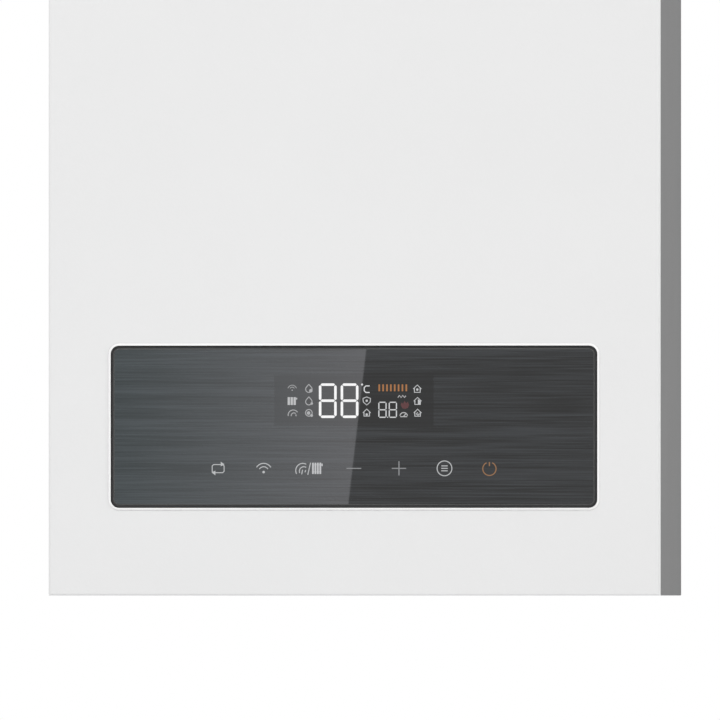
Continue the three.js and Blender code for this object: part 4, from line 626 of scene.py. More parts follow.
def lit(name, lines, width, colour, fills=()):
    """Draws lines and filled outlines on the glass. Each is a row of points across and up"""
    drawing = bpy.data.curves.new(name, "CURVE")
    drawing.dimensions = "3D"
    drawing.bevel_depth = width / 2
    drawing.bevel_resolution = 1
    drawing.use_fill_caps = True
    for line in lines:
        row = drawing.splines.new("POLY")
        row.points.add(len(line) - 1)
        for point, (x, z) in zip(row.points, line):
            point.co = (x, 0, z, 1)
    hand = bpy.data.objects.new(name, drawing)
    mesh = bpy.data.meshes.new_from_object(hand)
    bpy.data.objects.remove(hand)
    shape = bmesh.new()
    shape.from_mesh(mesh)
    for points in fills:
        shape.faces.new([shape.verts.new((x, -width / 2, z)) for x, z in points])
    flat = Matrix.Diagonal((0.001, sign_depth / width, 0.001, 1))
    bmesh.ops.transform(shape, matrix=Matrix.Translation((0, sign_plane, rim)) @ flat,
        verts=shape.verts)
    shape.to_mesh(mesh)
    shape.free()
    glow, tree, shader = painted(name)
    shader.inputs["Roughness"].default_value = 0.4
    shader.inputs["Emission Strength"].default_value = 1.0
    shader.inputs["Base Color"].default_value = (0.02, 0.02, 0.02, 1)
    dimmer = [part * 0.86 for part in colour]
    even = worn(tree, moulded_effect, colour, dimmer, 0.0, 700.0)
    tree.links.new(even["Colour"], shader.inputs["Emission Color"])
    mesh.materials.clear()
    mesh.materials.append(glow)
    sign = bpy.data.objects.new(name, mesh)
    scene.collection.objects.link(sign)
    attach(sign, "control_unit")


def digit(x, z, width, height, half, gap):
    """The seven strokes of a lit figure, each with pointed ends"""
    w, h = width / 2, height / 2
    ends = [((x - w + gap, z + step * h), (x + w - gap, z + step * h)) for step in (-1, 0, 1)]
    ends += [((x + side * w, z + step * gap), (x + side * w, z + step * (h - gap)))
        for side in (-1, 1) for step in (-1, 1)]
    strokes = []
    for low, high in ends:
        low, high = Vector(low), Vector(high)
        along = (high - low).normalized() * half
        beside = Vector((along.y, -along.x))
        first, last = low + along, high - along
        strokes.append([low, first + beside, last + beside, high, last - beside, first - beside])
    return strokes


def house(x, z, size):
    """A roof over two walls"""
    side, eaves, foot = size * 0.72, z + size * 0.1, z - size * 0.85
    walls = [(x - side, eaves), (x - side, foot), (x + side, foot), (x + side, eaves)]
    return [[(x - size, z), (x, z + size), (x + size, z)], walls]


def ribs(x, z, width, height, count, gap):
    """Filled ribs of a radiator side by side, with its knob on the right"""
    step = (width + gap) / count
    edges = [(x - width / 2 + step * i, x - width / 2 + step * (i + 1) - gap) for i in range(count)]
    knob = (x + width / 2 + 0.15, x + width / 2 + width * 0.16)
    blocks = [(*edge, z - height / 2, z + height / 2) for edge in edges]
    blocks.append((*knob, z + height * 0.2, z + height * 0.42))
    return [[(a, low), (b, low), (b, high), (a, high)] for a, b, low, high in blocks]


def drop(x, z, size):
    """A drop of water"""
    return [(x, z + size), *arc(x, z - size * 0.2, size * 0.78, 145, 395, 12), (x, z + size)]


key = 83.1
keys = [[(-86.0, key + 2.5), (-91.9, key + 2.5), (-92.8, key + 1.6), (-92.8, key - 1.9),
    (-91.9, key - 2.8), (-85.9, key - 2.8), (-85.0, key - 1.9), (-85.0, key + 1.6),
    (-86.0, key + 2.5)], arc(-59.1, 80.9, 5.5, 32, 148), arc(-59.1, 80.9, 3.3, 32, 148),
    arc(-33.4, 81.7, 4.7, 62, 208), arc(-32.8, 81.3, 2.9, 58, 205), [(-33.6, 82.2), (-34.2, 79.2)],
    [(-31.6, 82.0), (-32.0, 80.6)], [(-28.4, 86.8), (-30.2, 78.9)],
    arc(59.3, key, 4.85, 0, 360, 32)]
keys += [[(57.2, key + step), (61.4, key + step)] for step in (-1.6, 0, 1.6)]
heads = [
    [(-87.2, 87.5), (-87.2, 84.4), (-84.7, 85.7)], [(-90.7, 78.6), (-90.7, 81.7), (-93.2, 80.4)],
    arc(-59.1, 80.7, 0.85, 0, 330, 11)]
lit("touch_keys", keys, 0.72, (0.47, 0.48, 0.49), heads)
lit("radiator_key", [[(-27.3, key + step), (-21.6, key + step)] for step in (-2.3, 2.3)], 0.4,
    (0.5, 0.505, 0.52), ribs(-24.4, key, 6.0, 7.4, 4, 0.45))
lit("step_keys", [[(-4.8, key), (4.8, key)], [(24.8, key), (34.2, key)],
    [(29.5, key - 4.6), (29.5, key + 4.6)]], 0.75, (0.235, 0.24, 0.25))
lit("power_key", [arc(88.7, 82.8, 4.35, 115, 425, 32), [(88.7, 84.6), (88.7, 87.2)]], 0.8,
    (0.27, 0.118, 0.036))

figures = [
    stroke for x in (-17.1, -2.85) for stroke in digit(x, 127.35, 10.0, 21.0, 0.82, 0.28)]
lit("large_figures", [], 1.0, (0.955, 0.955, 0.96), figures)
celsius = [(10.3, 137.0), (7.9, 137.0), (6.75, 135.9), (6.75, 133.8), (7.9, 132.7), (10.3, 132.7)]
lit("degree_sign", [celsius, arc(5.35, 137.9, 0.35, 0, 360, 8)], 0.82, (0.7, 0.71, 0.72))
lit("dim_signs", [arc(-40.4, 134.6, 2.9, 18, 162), arc(-40.4, 134.6, 1.6, 30, 150, 6)], 0.62,
    (0.31, 0.315, 0.325), [arc(-40.4, 134.2, 0.5, 0, 315, 7)])
shower = [arc(-39.7, 117.9, 3.4, 35, 190), arc(-39.3, 117.6, 1.8, 50, 190, 6),
    [(-38.0, 118.4), (-37.8, 117.2)]]
tap_signs = [drop(-29.5, 135.4, 2.7), drop(-29.5, 127.2, 2.7), arc(-29.5, 119.4, 2.2, 0, 360, 14)]
blobs = [arc(x, z, size, 0, 324, 9) for x, z, size in ((-28.2, 133.9, 1.15), (-27.6, 125.5, 0.85),
    (-29.7, 119.3, 1.2), (-27.7, 117.7, 0.95))]
lit("tap_signs", shower + tap_signs, 0.66, (0.4, 0.405, 0.415), blobs)
lit("radiator_sign", [], 0.6, (0.5, 0.505, 0.515), ribs(-40.7, 127.1, 5.4, 5.1, 3, 0.4))
shield = [(5.9, 128.8), (8.4, 129.8), (10.9, 128.8), (10.6, 126.4), (8.4, 124.5), (6.2, 126.4),
    (5.9, 128.8)]
bright_signs = [shield] + house(8.4, 119.4, 2.5) + house(41.5, 135.0, 2.6) + house(41.7, 127.0, 2.5)
bright_signs += house(41.7, 119.3, 2.5) + [arc(41.9, 118.7, 0.8, 90, 380, 8)]
cores = [arc(x, z, 0.8, 0, 324, 9) for x, z in ((8.4, 127.3), (8.4, 118.3), (41.5, 134.6))]
cores += [[(41.9, 125.0), (43.2, 125.0), (43.2, 127.4), (41.9, 128.4)]]
lit("bright_signs", bright_signs, 0.66, (0.52, 0.53, 0.54), cores)
small_figures = [
    stroke for x in (18.7, 25.5) for stroke in digit(x, 121.4, 4.7, 9.8, 0.36, 0.2)]
small_figures.append(arc(22.1, 116.5, 0.4, 0, 315, 7))
lit("small_figures", [], 0.6, (0.62, 0.63, 0.64), small_figures)
lit("range_bars", [[(16.6 + 2.53 * i, 133.5), (16.6 + 2.53 * i, 138.0)] for i in range(8)], 1.1,
    (0.36, 0.135, 0.026))
wave = [(28.8, 129.4), (29.8, 130.8), (30.9, 129.4), (32.0, 130.8), (33.1, 129.4), (34.0, 130.6)]
gauge = [arc(32.6, 117.1, 2.5, 10, 170, 10), [(32.6, 117.2), (34.0, 118.8)],
    [(30.3, 116.9), (34.9, 116.9)]]
lit("unit_signs", [wave] + gauge, 0.74, (0.44, 0.44, 0.445))
flame = [(30.6, 124.6), (31.6, 122.5), (33.4, 121.9), (35.3, 122.6), (36.2, 124.6), (35.2, 126.8),
    (34.3, 125.6), (33.2, 127.2), (32.2, 125.4), (31.2, 126.2)]
lit("warning_sign", [], 0.6, (0.072, 0.0, 0.002), [flame])

# ---- Control tray, boards and box ----
# The glass is bonded to a black tray, which holds the display board and turns on two pins. The
# main board stands in the deep box behind it, under a snap-on rear cover.


def board_tracks(group, place, scale):
    """Printed board: green lacquer over copper tracks"""
    laid = add(group, "Mapping", {"Vector": place, "Rotation": (radians(90), 0, 0)}).outputs[0]
    bricks = add(group, "TexBrick", {"Vector": laid, "Scale": scale, "Mortar Size": 0.06,
        "Bias": 0.2})
    tracks = noise(group, stretched(group, place, (260, 60, 900)), 1.0, 1.0)
    share = math(group, "MAXIMUM", bricks.outputs["Fac"], spread(group, tracks, 0.55, 0.58))
    return share, spread(group, tracks, 0.3, 0.7, -0.05, 0.05), share


board_effect = skin("board tracks", board_tracks)
board_green = finished("green board", None, board_effect, (0.01, 0.085, 0.035),
    (0.045, 0.19, 0.075), 0.34, 60.0, 0.03)
black_plastic = finished("black moulding", "black_plastic", moulded_effect, (0.02, 0.021, 0.022),
    (0.03, 0.031, 0.032), 0.46, 1300.0, 0.012, dust=0.1)
dress(black_plastic, "control_tray", "control_box")
dress(board_green, "display_board", "main_board")
rounded_strip(glass_width, glass_height, glass_corner, window_middle,
    [(0.02, -319.3), (0.5, -319.5), (0.72, -319.3), (0.72, -316), (0.02, -316)])
made("tray_lip", black_plastic, body="control_unit")
for x in range(-120, 121, 20):
    if abs(x) > 30:
        block((x - 1, x + 1), (-308.0, -274), (59.9, 60.6))
for x in (-141, 141):
    for z in (70, 141):
        pan_head(x, -270.4, z, "Y", radius=3, rise=1.4)
for i in range(9):
    x = 16 * (i - 4)
    for z in (92, 98):
        block((x - 5, x + 5), (-270.5, -269.7), (z, z + 1.6))
made("control_box_ribs", black_plastic, body="control_unit", edge=0.25)

# ---- Air chamber, seal, lid and sight glass ----
# A sealed box of zinc-coated sheet round the burner. Its lid is pressed against a rubber seal by
# eight screws, and a round glass in it shows the flame.


def bloomed(group, place, scale):
    """Matt rubber with a soft uneven bloom"""
    bloom = noise(group, place, 60.0, 4.0)
    grain = noise(group, place, scale, 2.0)
    return spread(group, bloom, 0.35, 0.7), spread(group, bloom, 0.3, 0.7, -0.08, 0.08), grain


rubber_effect = skin("rubber bloom", bloomed)
rubber = finished("black rubber", "rubber", rubber_effect, (0.018, 0.018, 0.019),
    (0.038, 0.038, 0.04), 0.72, 1100.0, 0.02)
dress(zinc, "air_chamber", "chamber_lid")
dress(rubber, "chamber_seal")
for x, z in ((-184, 360), (-184, 527), (-184, 694), (184, 360), (184, 527), (184, 694), (0, 704),
        (0, 349)):
    pan_head(x, -294.7, z, "-Y", radius=4, rise=2.0)
made("chamber_lid_screws", steel_screw)
for width, height in ((330, 312), (150, 132)):
    rounded_strip(width, height, 26, 530, [(-6, -294.6), (-4, -295.9), (0, -296.4), (4, -295.9),
        (6, -294.6)])
made("chamber_lid_beads", zinc)

flame_height = 394.3
sight_axis = (60, 0, flame_height)
clear_glass, clear_tree, clear_shader = painted("heat-proof glass")
clear_shader.inputs["Base Color"].default_value = (0.8, 0.87, 0.85, 1)
clear_shader.inputs["Transmission Weight"].default_value = 0.9
clear_shader.inputs["IOR"].default_value = 1.47
clear_smear = noise(clear_tree, add(clear_tree, "TexCoord").outputs["Object"], 160.0, 4.0)
clear_tree.links.new(spread(clear_tree, clear_smear, 0.3, 0.7, 0.03, 0.14),
    clear_shader.inputs["Roughness"])
turned([(0, -297.0), (9.4, -297.0), (9.8, -296.8), (9.8, -295.1), (0, -295.1)], sight_axis, "Y")
made("sight_glass_disc", clear_glass, "sight_glass")
turned([(9.9, -295.1), (9.9, -296.7), (10.3, -297.05), (12.4, -297.05), (12.9, -296.6),
    (12.9, -295.1)], sight_axis, "Y", closed=True)
made("sight_glass_ring", steel_screw)

# ---- Burner, gas rail and electrodes ----
# Stainless burner blades on two rails. An aluminium rail blows gas into each blade, and two
# ceramic electrodes light and watch the flame.
blade_steel = finished("stainless blades", "steel", brushed_effect, (0.46, 0.45, 0.43),
    (0.6, 0.59, 0.57), 0.3, 1.0, 0.01, Metallic=1.0)


def cast(group, place, scale):
    """Cast metal: a coarse pitted surface from the mould"""
    coarse = noise(group, place, scale, 3.0)
    stain = noise(group, place, 22.0, 3.0)
    height = math(group, "ADD", coarse, math(group, "MULTIPLY", stain, 0.4))
    share = spread(group, math(group, "ADD", coarse, stain), 0.75, 1.3)
    return share, spread(group, coarse, 0.3, 0.7, -0.09, 0.09), height


cast_effect = skin("cast surface", cast)
aluminium = finished("cast aluminium", "aluminium", cast_effect, (0.58, 0.59, 0.61),
    (0.72, 0.73, 0.75), 0.4, 380.0, 0.1, dust=0.12, Metallic=1.0)
ceramic = finished("glazed ceramic", "ceramic", cast_effect, (0.8, 0.77, 0.7), (0.88, 0.86, 0.81),
    0.22, 300.0, 0.02, Coat_Weight=0.5)
blade_places = [21.333 * (i - 4.5) for i in range(10)]
for y in (-242, -146):
    block((-100, 100), (y, y + 8), (336.3, 350.3))
for x in blade_places:
    block((x - 4, x + 4), (-242, -138), (346.3, 362))
    block((x - 2.6, x + 2.6), (-240, -140), (361, 368.3))
made("burner_blades", blade_steel, "burner", edge=0.9)
block((-100, 100), (-267.3, -255.3), (356.3, 368.3))
for x in blade_places:
    rod(2.5, (x, -258, 362.3), (x, -250, 362.3), sides=6)
    rod(1.7, (x, -251, 362.3), (x, -242.3, 362.3), sides=16, tip=1.1)
made("gas_rail_bar", aluminium, "gas_rail", edge=0.6)
for side, name in ((-1, "ignition_electrode"), (1, "flame_electrode")):
    turned([(0, -268), (1.6, -268), (1.8, -266), (3.2, -265.4), (3.5, -264.5), (3.5, -262),
        (2.9, -261.5), (2.9, -260.8), (3.5, -260.3), (3.5, -227), (2.6, -225.2), (1.0, -225),
        (1.0, -207.4), (0.5, -207), (0, -207)], (side * 20, 0, flame_height), "Y", steps=24)
    block((side * 20 - 8, side * 20 + 8), (-256.8, -255.3), (386.3, 402.3))
    made(name.split("_")[0] + "_probe", ceramic, name, edge=0.3)

# ---- Firebox, insulation and heat exchanger ----
# A sheet-steel box lined with ceramic fibre, and on it the finned copper block that heats the
# water, with a header on each side.


def tarnish(group, place, scale):
    """Copper and brass: bright metal with slow brown clouds and drawing marks"""
    clouds = noise(group, place, scale, 4.0)
    marks = noise(group, place, 420.0, 2.0)
    share = spread(group, math(group, "ADD", clouds, math(group, "MULTIPLY", marks, 0.25)), 0.42,
        0.85)
    return share, spread(group, clouds, 0.3, 0.75, -0.06, 0.14), marks


tarnish_effect = skin("tarnish", tarnish)
copper = finished("drawn copper", "copper", tarnish_effect, (0.86, 0.43, 0.27), (0.5, 0.22, 0.13),
    0.3, 24.0, 0.012, dust=0.08, Metallic=1.0)


def matted(group, place, scale):
    """Ceramic fibre board: short matted threads"""
    level = noise(group, stretched(group, place, (260, 1500, 900)), 1.0, 3.0)
    upright = noise(group, stretched(group, place, (1500, 300, 500)), 1.0, 3.0)
    mat = math(group, "MAXIMUM", level, upright)
    lumps = noise(group, place, scale, 2.0)
    rough = spread(group, lumps, 0.3, 0.7, -0.03, 0.03)
    return spread(group, mat, 0.4, 0.75), rough, math(group, "ADD", mat, lumps)


fibre_effect = skin("matted fibre", matted)
fibre = finished("ceramic fibre board", None, fibre_effect, (0.66, 0.62, 0.54), (0.84, 0.81, 0.74),
    0.92, 60.0, 0.35)
heated_zinc = finished("heated sheet", None, zinc_effect, (0.52, 0.51, 0.49), (0.68, 0.66, 0.63),
    0.42, 130.0, 0.006, Metallic=1.0)
dress(heated_zinc, "firebox", "flue_hood")
dress(fibre, "insulation")
dress(copper, "heat_exchanger")
for low in (496.6, 541.6):
    for y in (-255, -125):
        block((-115.9, 115.9), (y - 0.9, y + 0.9), (low, low + 3))
    for x in (-115, 115):
        block((x - 0.9, x + 0.9), (-255.9, -124.1), (low, low + 3))
for i in range(11):
    x = 19.17 * (i - 5)
    block((x - 0.6, x + 0.6), (-255.7, -254.6), (502, 539))
made("exchanger_bands", copper, edge=0.3, segments=2)
for x in (-105, -52.5, 0, 52.5, 105):
    for z in (484, 556):
        pan_head(x, -255, z, "-Y")
for x in (-108, 108):
    pan_head(x, -255, 410, "-Y")
for x, way in ((-115, "-X"), (115, "X")):
    for y in (-240, -190, -140):
        for z in (484, 556):
            pan_head(x, y, z, way)
made("firebox_screws", steel_screw)
turned([(0, 536.0), (5.5, 536.0), (5.5, 541), (4.6, 541.4), (4.6, 543.8), (4.0, 544.6), (0, 544.6)],
    (-121, -215, 0), "Z", steps=32)
made("thermostat_cap", black_plastic, "limit_thermostat", edge=0.2)

# ---- Fan ----
# A cast aluminium drum with its outlet on top. A steel wheel with curved blades turns in it, on
# the shaft of the motor that is screwed to its front.
dress(aluminium, "fan_housing")


def blades(count, middle, axis, path, sheet, start, end, twist=0.0, steps=1):
    """Draws curved blades round an axis. The path has pairs of radius and angle across the axis"""
    along = direction(axis)
    across = Vector((1, 0, 0))
    upward = along.cross(across)
    for i in range(count):
        rings = []
        for j in range(steps + 1):
            turn = 2 * pi * i / count + twist * j / steps
            place = Vector(middle) + along * (start + (end - start) * j / steps)
            line = [place + r * (cos(a + turn) * across + sin(a + turn) * upward) for r, a in path]
            pairs = zip(line[:1] + line[:-1], line[1:] + line[-1:])
            heading = [(b - a).normalized() for a, b in pairs]
            offset = [along.cross(h) * sheet / 2 for h in heading]
            rings.append([[drawn.verts.new(p + side * o) for p, o in zip(line, offset)]
                for side in (1, -1)])
        for k in range(len(path) - 1):
            for left, right in (rings[0], rings[-1]):
                drawn.faces.new((left[k], left[k + 1], right[k + 1], right[k]))
            for low, high in zip(rings, rings[1:]):
                for a, b in zip(low, high):
                    drawn.faces.new((a[k], a[k + 1], b[k + 1], b[k]))
        for low, high in zip(rings, rings[1:]):
            for k in (0, -1):
                drawn.faces.new((low[0][k], low[1][k], high[1][k], high[0][k]))


fan_height = 638.2
fan_axis = (-23.5, 0, fan_height)
turned([(0, -246), (3.4, -246), (4, -245.4), (4, -207.8), (41.2, -207.8), (42, -207.2),
    (42, -206.4), (41.4, -205.8), (12, -205.8), (10.5, -205), (9.5, -197), (8.6, -196), (0, -196)],
    fan_axis, "Y", steps=72)
turned([(36.4, -174.2), (41.4, -174.2), (42, -173.6), (42, -172.8), (41.4, -172.2), (36.4, -172.2),
    (36, -172.8), (36, -173.6)], fan_axis, "Y", steps=72, closed=True)
blades(16, fan_axis, "Y", [(30.5 + 10.5 * i / 8, 0.24 * (i / 8) ** 1.6) for i in range(9)], 1.0,
    -206.2, -173.8)
made("fan_impeller", steel_screw, "fan_wheel", body="fan_rotor")
turned([(4.3, -212.3), (24, -212.3), (27, -214), (27, -225), (26.2, -225.5), (26.2, -228),
    (27, -228.5), (27, -231), (26.2, -231.5), (26.2, -234), (27, -234.5), (27, -250), (24, -254.5),
    (12, -257.3), (0, -257.3), (0, -250.2), (4.3, -250.2)], fan_axis, "Y", closed=True)
made("fan_motor_case", black_plastic, "fan_motor", edge=0.3)

# ---- Air pressure switch and its tube ----
# A flat capsule of white plastic is screwed to the chamber's rear wall. A soft silicone tube is
# pushed over its nozzle and over the fan's.
switch_side = 130
flue_depth = -190
turned([(0, -111), (22, -111), (22, -117), (20.4, -118), (20.4, -119.5), (22, -120.5), (22, -124),
    (20, -127.4), (11, -129), (3, -129), (3, -131), (2.4, -132), (3, -133.5), (2.4, -137),
    (0, -137)], (switch_side, 0, fan_height), "Y")
made("pressure_capsule", white_plastic, "pressure_switch", edge=0.2)


def free_end(drawn_last):
    """The corners and edges of the end that was drawn last"""
    ends = [g for g in drawn_last if isinstance(g, bmesh.types.BMVert)]
    edges = [g for g in drawn_last if isinstance(g, bmesh.types.BMEdge)
        and set(g.verts) <= set(ends)]
    return ends, edges


def pipe(corners, radius, bend, sides=24, steps=8):
    """Draws a pipe through those corners, with a round bend at each"""
    corners = [Vector(corner) for corner in corners]
    heading = (corners[1] - corners[0]).normalized()
    facing = heading.to_track_quat("Z", "Y").to_matrix().to_4x4()
    ends = bmesh.ops.create_circle(drawn, segments=sides, radius=radius,
        matrix=Matrix.Translation(corners[0]) @ facing)["verts"]
    edges = list({edge for vert in ends for edge in vert.link_edges})
    bmesh.ops.contextual_create(drawn, geom=edges)
    place = corners[0]
    for i in range(1, len(corners)):
        reach = corners[i] - place
        turn = 0.0
        if i < len(corners) - 1:
            onward = (corners[i + 1] - corners[i]).normalized()
            turn = heading.angle(onward)
            reach = reach - heading * bend * tan(turn / 2)
        ends, edges = free_end(bmesh.ops.extrude_edge_only(drawn, edges=edges)["geom"])
        bmesh.ops.translate(drawn, vec=reach, verts=ends)
        place = place + reach
        if turn:
            axis = heading.cross(onward).normalized()
            centre = place + axis.cross(heading) * bend
            ends, edges = free_end(bmesh.ops.spin(drawn, geom=ends + edges, cent=centre, axis=axis,
                dvec=(0, 0, 0), angle=turn, steps=steps, use_merge=False,
                use_duplicate=False)["geom_last"])
            place = corners[i] + onward * bend * tan(turn / 2)
            heading = onward
    bmesh.ops.contextual_create(drawn, geom=edges)


silicone = finished("clear silicone", "silicone", rubber_effect, (0.52, 0.5, 0.45),
    (0.62, 0.6, 0.55), 0.38, 900.0, 0.01, Coat_Weight=0.3)
pipe([(switch_side, -137.3, fan_height), (switch_side, flue_depth, fan_height),
    (28.8, flue_depth, fan_height)], 3.4, 12)
made("pressure_hose", silicone, "pressure_tube")

# ---- Flue ----
# An aluminium tube carries the flue gas up, and air comes down round it inside a white coated
# collar. Its flange stands on a rubber gasket and has four screws.
flue_metal = finished("drawn aluminium", "aluminium", brushed_effect, (0.66, 0.67, 0.69),
    (0.8, 0.81, 0.83), 0.3, 1.0, 0.006, Metallic=1.0)
turned([(28.8, 690.5), (30, 690.5), (30, 774.2), (29.7, 774.8), (29.1, 774.8), (28.8, 774.2)],
    (0, flue_depth, 0), "Z", steps=96, closed=True)
made("flue_tube", flue_metal, "flue_inner")
turned([(48.8, 723.6), (63.4, 723.6), (64, 724.0), (64, 725.2), (63.4, 725.6), (51.2, 725.6),
    (50.2, 726.4), (50, 727.4), (50, 766.5), (49.2, 767.2), (49.2, 768.2), (50, 769), (50, 774.2),
    (49.7, 774.9), (49.1, 774.9), (48.8, 774.2)], (0, flue_depth, 0), "Z", steps=96, closed=True)
for i in range(3):
    around = Matrix.Rotation(2 * pi * i / 3 + pi / 2, 4, "Z")
    turn = Matrix.Translation((0, flue_depth, 738.6)) @ around
    size = Matrix.Translation((39.8, 0, 0)) @ Matrix.Diagonal((18.6, 1.6, 10, 1))
    bmesh.ops.create_cube(drawn, size=1, matrix=turn @ size)
made("flue_collar_ring", white_coat, "flue_collar")
turned([(50.3, 720.3), (63.6, 720.3), (64, 720.7), (64, 722.9), (63.6, 723.3), (50.3, 723.3)],
    (0, flue_depth, 0), "Z", steps=96, closed=True)
made("flue_seal", rubber, "flue_gasket")
diagonals = [radians(45 + 90 * i) for i in range(4)]
for turn in diagonals:
    pan_head(57.6 * cos(turn), flue_depth + 57.6 * sin(turn), 725.6, "Z", radius=3.6, rise=2.2)
made("flue_flange_screws", steel_screw)

# ---- Flow group, diverter valve and its actuator ----
# Machined brass. The threaded end comes down through the plate, a small motor moves the stem of
# the diverter valve, and an arm reaches to the plate exchanger.
brass = finished("machined brass", "brass", tarnish_effect, (0.8, 0.62, 0.3), (0.52, 0.37, 0.16),
    0.28, 30.0, 0.01, dust=0.08, Metallic=1.0)
row_depth = -95
wide_end, wide_bore, wide_nut = 13.2, 9.5, 18.2
narrow_end, narrow_bore, narrow_nut = 10.4, 7.0, 15.4
outer_port = 130
plate_top = 48.3
sensor_height = 112
arm_reach = ((-80.6, -57.4), (165, 189.4))
diverter_axis = (-outer_port, 0, 135)
relief_axis = (-outer_port, 0, 82)


def threaded_end(x, radius, bore, bore_top, *above):
    """Draws a pipe end with its bore and its thread, and what stands above it"""
    turned([(0, bore_top), (bore, bore_top), (bore, 6.4), (bore + 0.4, 6), (radius - 1.4, 6),
        (radius - 0.9, 6.6), *thread(radius, 7, 27), (radius - 0.9, 27.4), (radius - 0.9, 29),
        (radius, 29.6), *above], (x, row_depth, 0), "Z")


def nut(x, y, radius, low, high):
    """Draws a six-sided nut"""
    rod(radius, (x, y, low), (x, y, high), sides=6)


def flange_nut(x, y, radius, rise, edge):
    """Draws a six-sided flange that rests on the bottom plate"""
    nut(x, y, radius, plate_top, plate_top + rise)
    soften(edge, 2)


flange_nut(-outer_port, row_depth, wide_nut, 4, 0.5)
block((-129, -78), *arm_reach)
rod(9, (-156, row_depth, sensor_height), (-outer_port, row_depth, sensor_height))
turned([(0, -95), (12, -95), (12, -118), (11, -118.6), (11, -119.6), (12, -120.2), (12, -122),
    (0, -122)], relief_axis, "Y")
soften(1.0, 3)
turned([(0, -95), (14, -95), (14, -124), (12.6, -125), (12.6, -127), (14, -128), (14, -131.4),
    (13.4, -132), (5, -132), (5, -120), (0, -120)], diverter_axis, "Y")
threaded_end(-outer_port, wide_end, wide_bore, 36, (wide_end, 57), (15, 58.5), (22, 61), (22, 72),
    (21.2, 72.8), (21.2, 94), (22, 94.8), (22, 104), (21.2, 104.8), (21.2, 154), (22, 154.8),
    (22, 186), (19, 190), (12, 190.4), (12, 198), (13, 198.4), (13, 199.4), (12, 200), (0, 200))
made("flow_body", brass, "flow_group")

turned([(5, -132.3), (18.6, -132.3), (20, -133.6), (20, -140), (19, -141), (19, -143), (20, -144),
    (20, -176), (17.5, -181.5), (13, -184.3), (0, -184.3), (0, -159.2), (5, -159.2)], diverter_axis,
    "Y", closed=True)
block((-139.6, -120.4), (-168, -148.6), (140, 156.3))
for i in range(5):
    x = -137 + 3.5 * i
    block((x - 0.8, x + 0.8), (-169, -168), (143, 154))
made("actuator_case", black_plastic, "diverter_actuator", edge=0.6)
polished = finished("ground steel", "steel", brushed_effect, (0.62, 0.62, 0.63), (0.72, 0.72, 0.73),
    0.2, 1.0, 0.003, Metallic=1.0)
turned([(0, -150), (3.4, -150), (4.7, -148.7), (4.7, -128), (3.9, -127.5), (3.9, -125.5),
    (4.7, -125), (4.7, -121), (3.8, -120), (0, -120)], diverter_axis, "Y")
made("valve_stem", polished, "diverter_stem", body="diverter_stem")

# ---- Relief valve, its knob and the pressure sensor ----
# A brass valve with a red fluted knob lets water out through the drain under the plate when the
# pressure is too high. A black sensor on the left measures it.
turned([(0, -122.3), (12, -122.3), (12, -127), (10.8, -127.6), (10.8, -145), (12, -145.6),
    (12, -149.4), (11.2, -150.3), (3, -150.3), (3, -161.6), (2.4, -162.3), (0, -162.3)],
    relief_axis, "Y")
turned([(0, 46.5), (4, 46.5), (4, 20.4), (4.4, 20), (5.4, 20), (6, 20.8), (6, 24), (5.2, 24.6),
    (5.2, 26), (6, 26.6), (6, 60), (7.4, 62), (7.4, 70), (6, 72), (0, 82)],
    (-outer_port, -136.3, 0), "Z", steps=32)
made("relief_body", brass, "relief_valve")
red_plastic = finished("red moulding", "red_plastic", moulded_effect, (0.42, 0.022, 0.018),
    (0.35, 0.017, 0.014), 0.36, 1300.0, 0.01, dust=0.1)


def fluted_knob(radius, middle, axis, foot, cap, bore, bore_end, flutes=12):
    """Draws a knob with a domed cap below its foot, a row of grip ribs and a socket for its stem"""
    turned([(0, bore_end), (bore, bore_end), (bore, foot), (radius - 2.4, foot),
        (radius - 1.2, foot - 1), (radius - 1.2, cap + 2.4), (radius - 3.4, cap + 0.5),
        (radius - 6, cap), (0, cap)], middle, axis, steps=36)
    along = direction(axis)
    across, upward = [direction(letter) for letter in "XYZ" if letter != axis]
    for i in range(flutes):
        turn = 2 * pi * i / flutes
        place = Vector(middle) + radius * 0.955 * (cos(turn) * across + sin(turn) * upward)
        rod(radius * 0.045 + 0.0001, place + (foot - 1.2) * along, place + (cap + 2.6) * along,
            sides=8)


fluted_knob(14, relief_axis, "Y", -150.6, -170.6, 3.3, -162.6)
made("relief_grip", red_plastic, "relief_knob", body="relief_knob")
turned([(0, -156.3), (9, -156.3), (9, -160), (8.2, -160.5), (8.2, -163), (9, -163.5), (9, -172),
    (7.6, -174), (6.4, -174), (6.4, -178.3), (0, -178.3)], (0, row_depth, sensor_height), "X",
    steps=32)
block((-178, -168.5), (-100, -90), (113, 122.3))
made("pressure_probe", black_plastic, "water_pressure_sensor", edge=0.4)

# ---- Plate heat exchanger ----
# Ten pressed stainless plates, brazed with copper into one block, heat the tap water. Four ports
# under it join it to the flow group, the pump and the two pipes of the tap water.
plate_steel = finished("pressed stainless", "steel", brushed_effect, (0.52, 0.52, 0.52),
    (0.66, 0.66, 0.66), 0.26, 1.0, 0.006, dust=0.15, Metallic=1.0)
for i in range(10):
    level = 200 + 6 * i
    block((-95, 95), (-119.5, -44.5), (level, level + 1.4))
    if i < 9:
        block((-93.6, 93.6), (-118.1, -45.9), (level + 1.4, level + 3.6))
        block((-92.4, 92.4), (-116.9, -47.1), (level + 3.6, level + 6))
corner_edges = [e for e in drawn.edges if abs(e.verts[0].co.z - e.verts[1].co.z) > 0.5]
bevelled(corner_edges, 11, 6)
inner_port = 65
for x, y in ((-86, -69), (86, -69), (-inner_port, row_depth), (inner_port, row_depth)):
    turned([(0, 206), (8, 206), (8, 192), (7.4, 191.4), (7.4, 190), (0, 190)], (x, y, 0), "Z",
        steps=32)
made("plate_stack", plate_steel, "plate_exchanger")

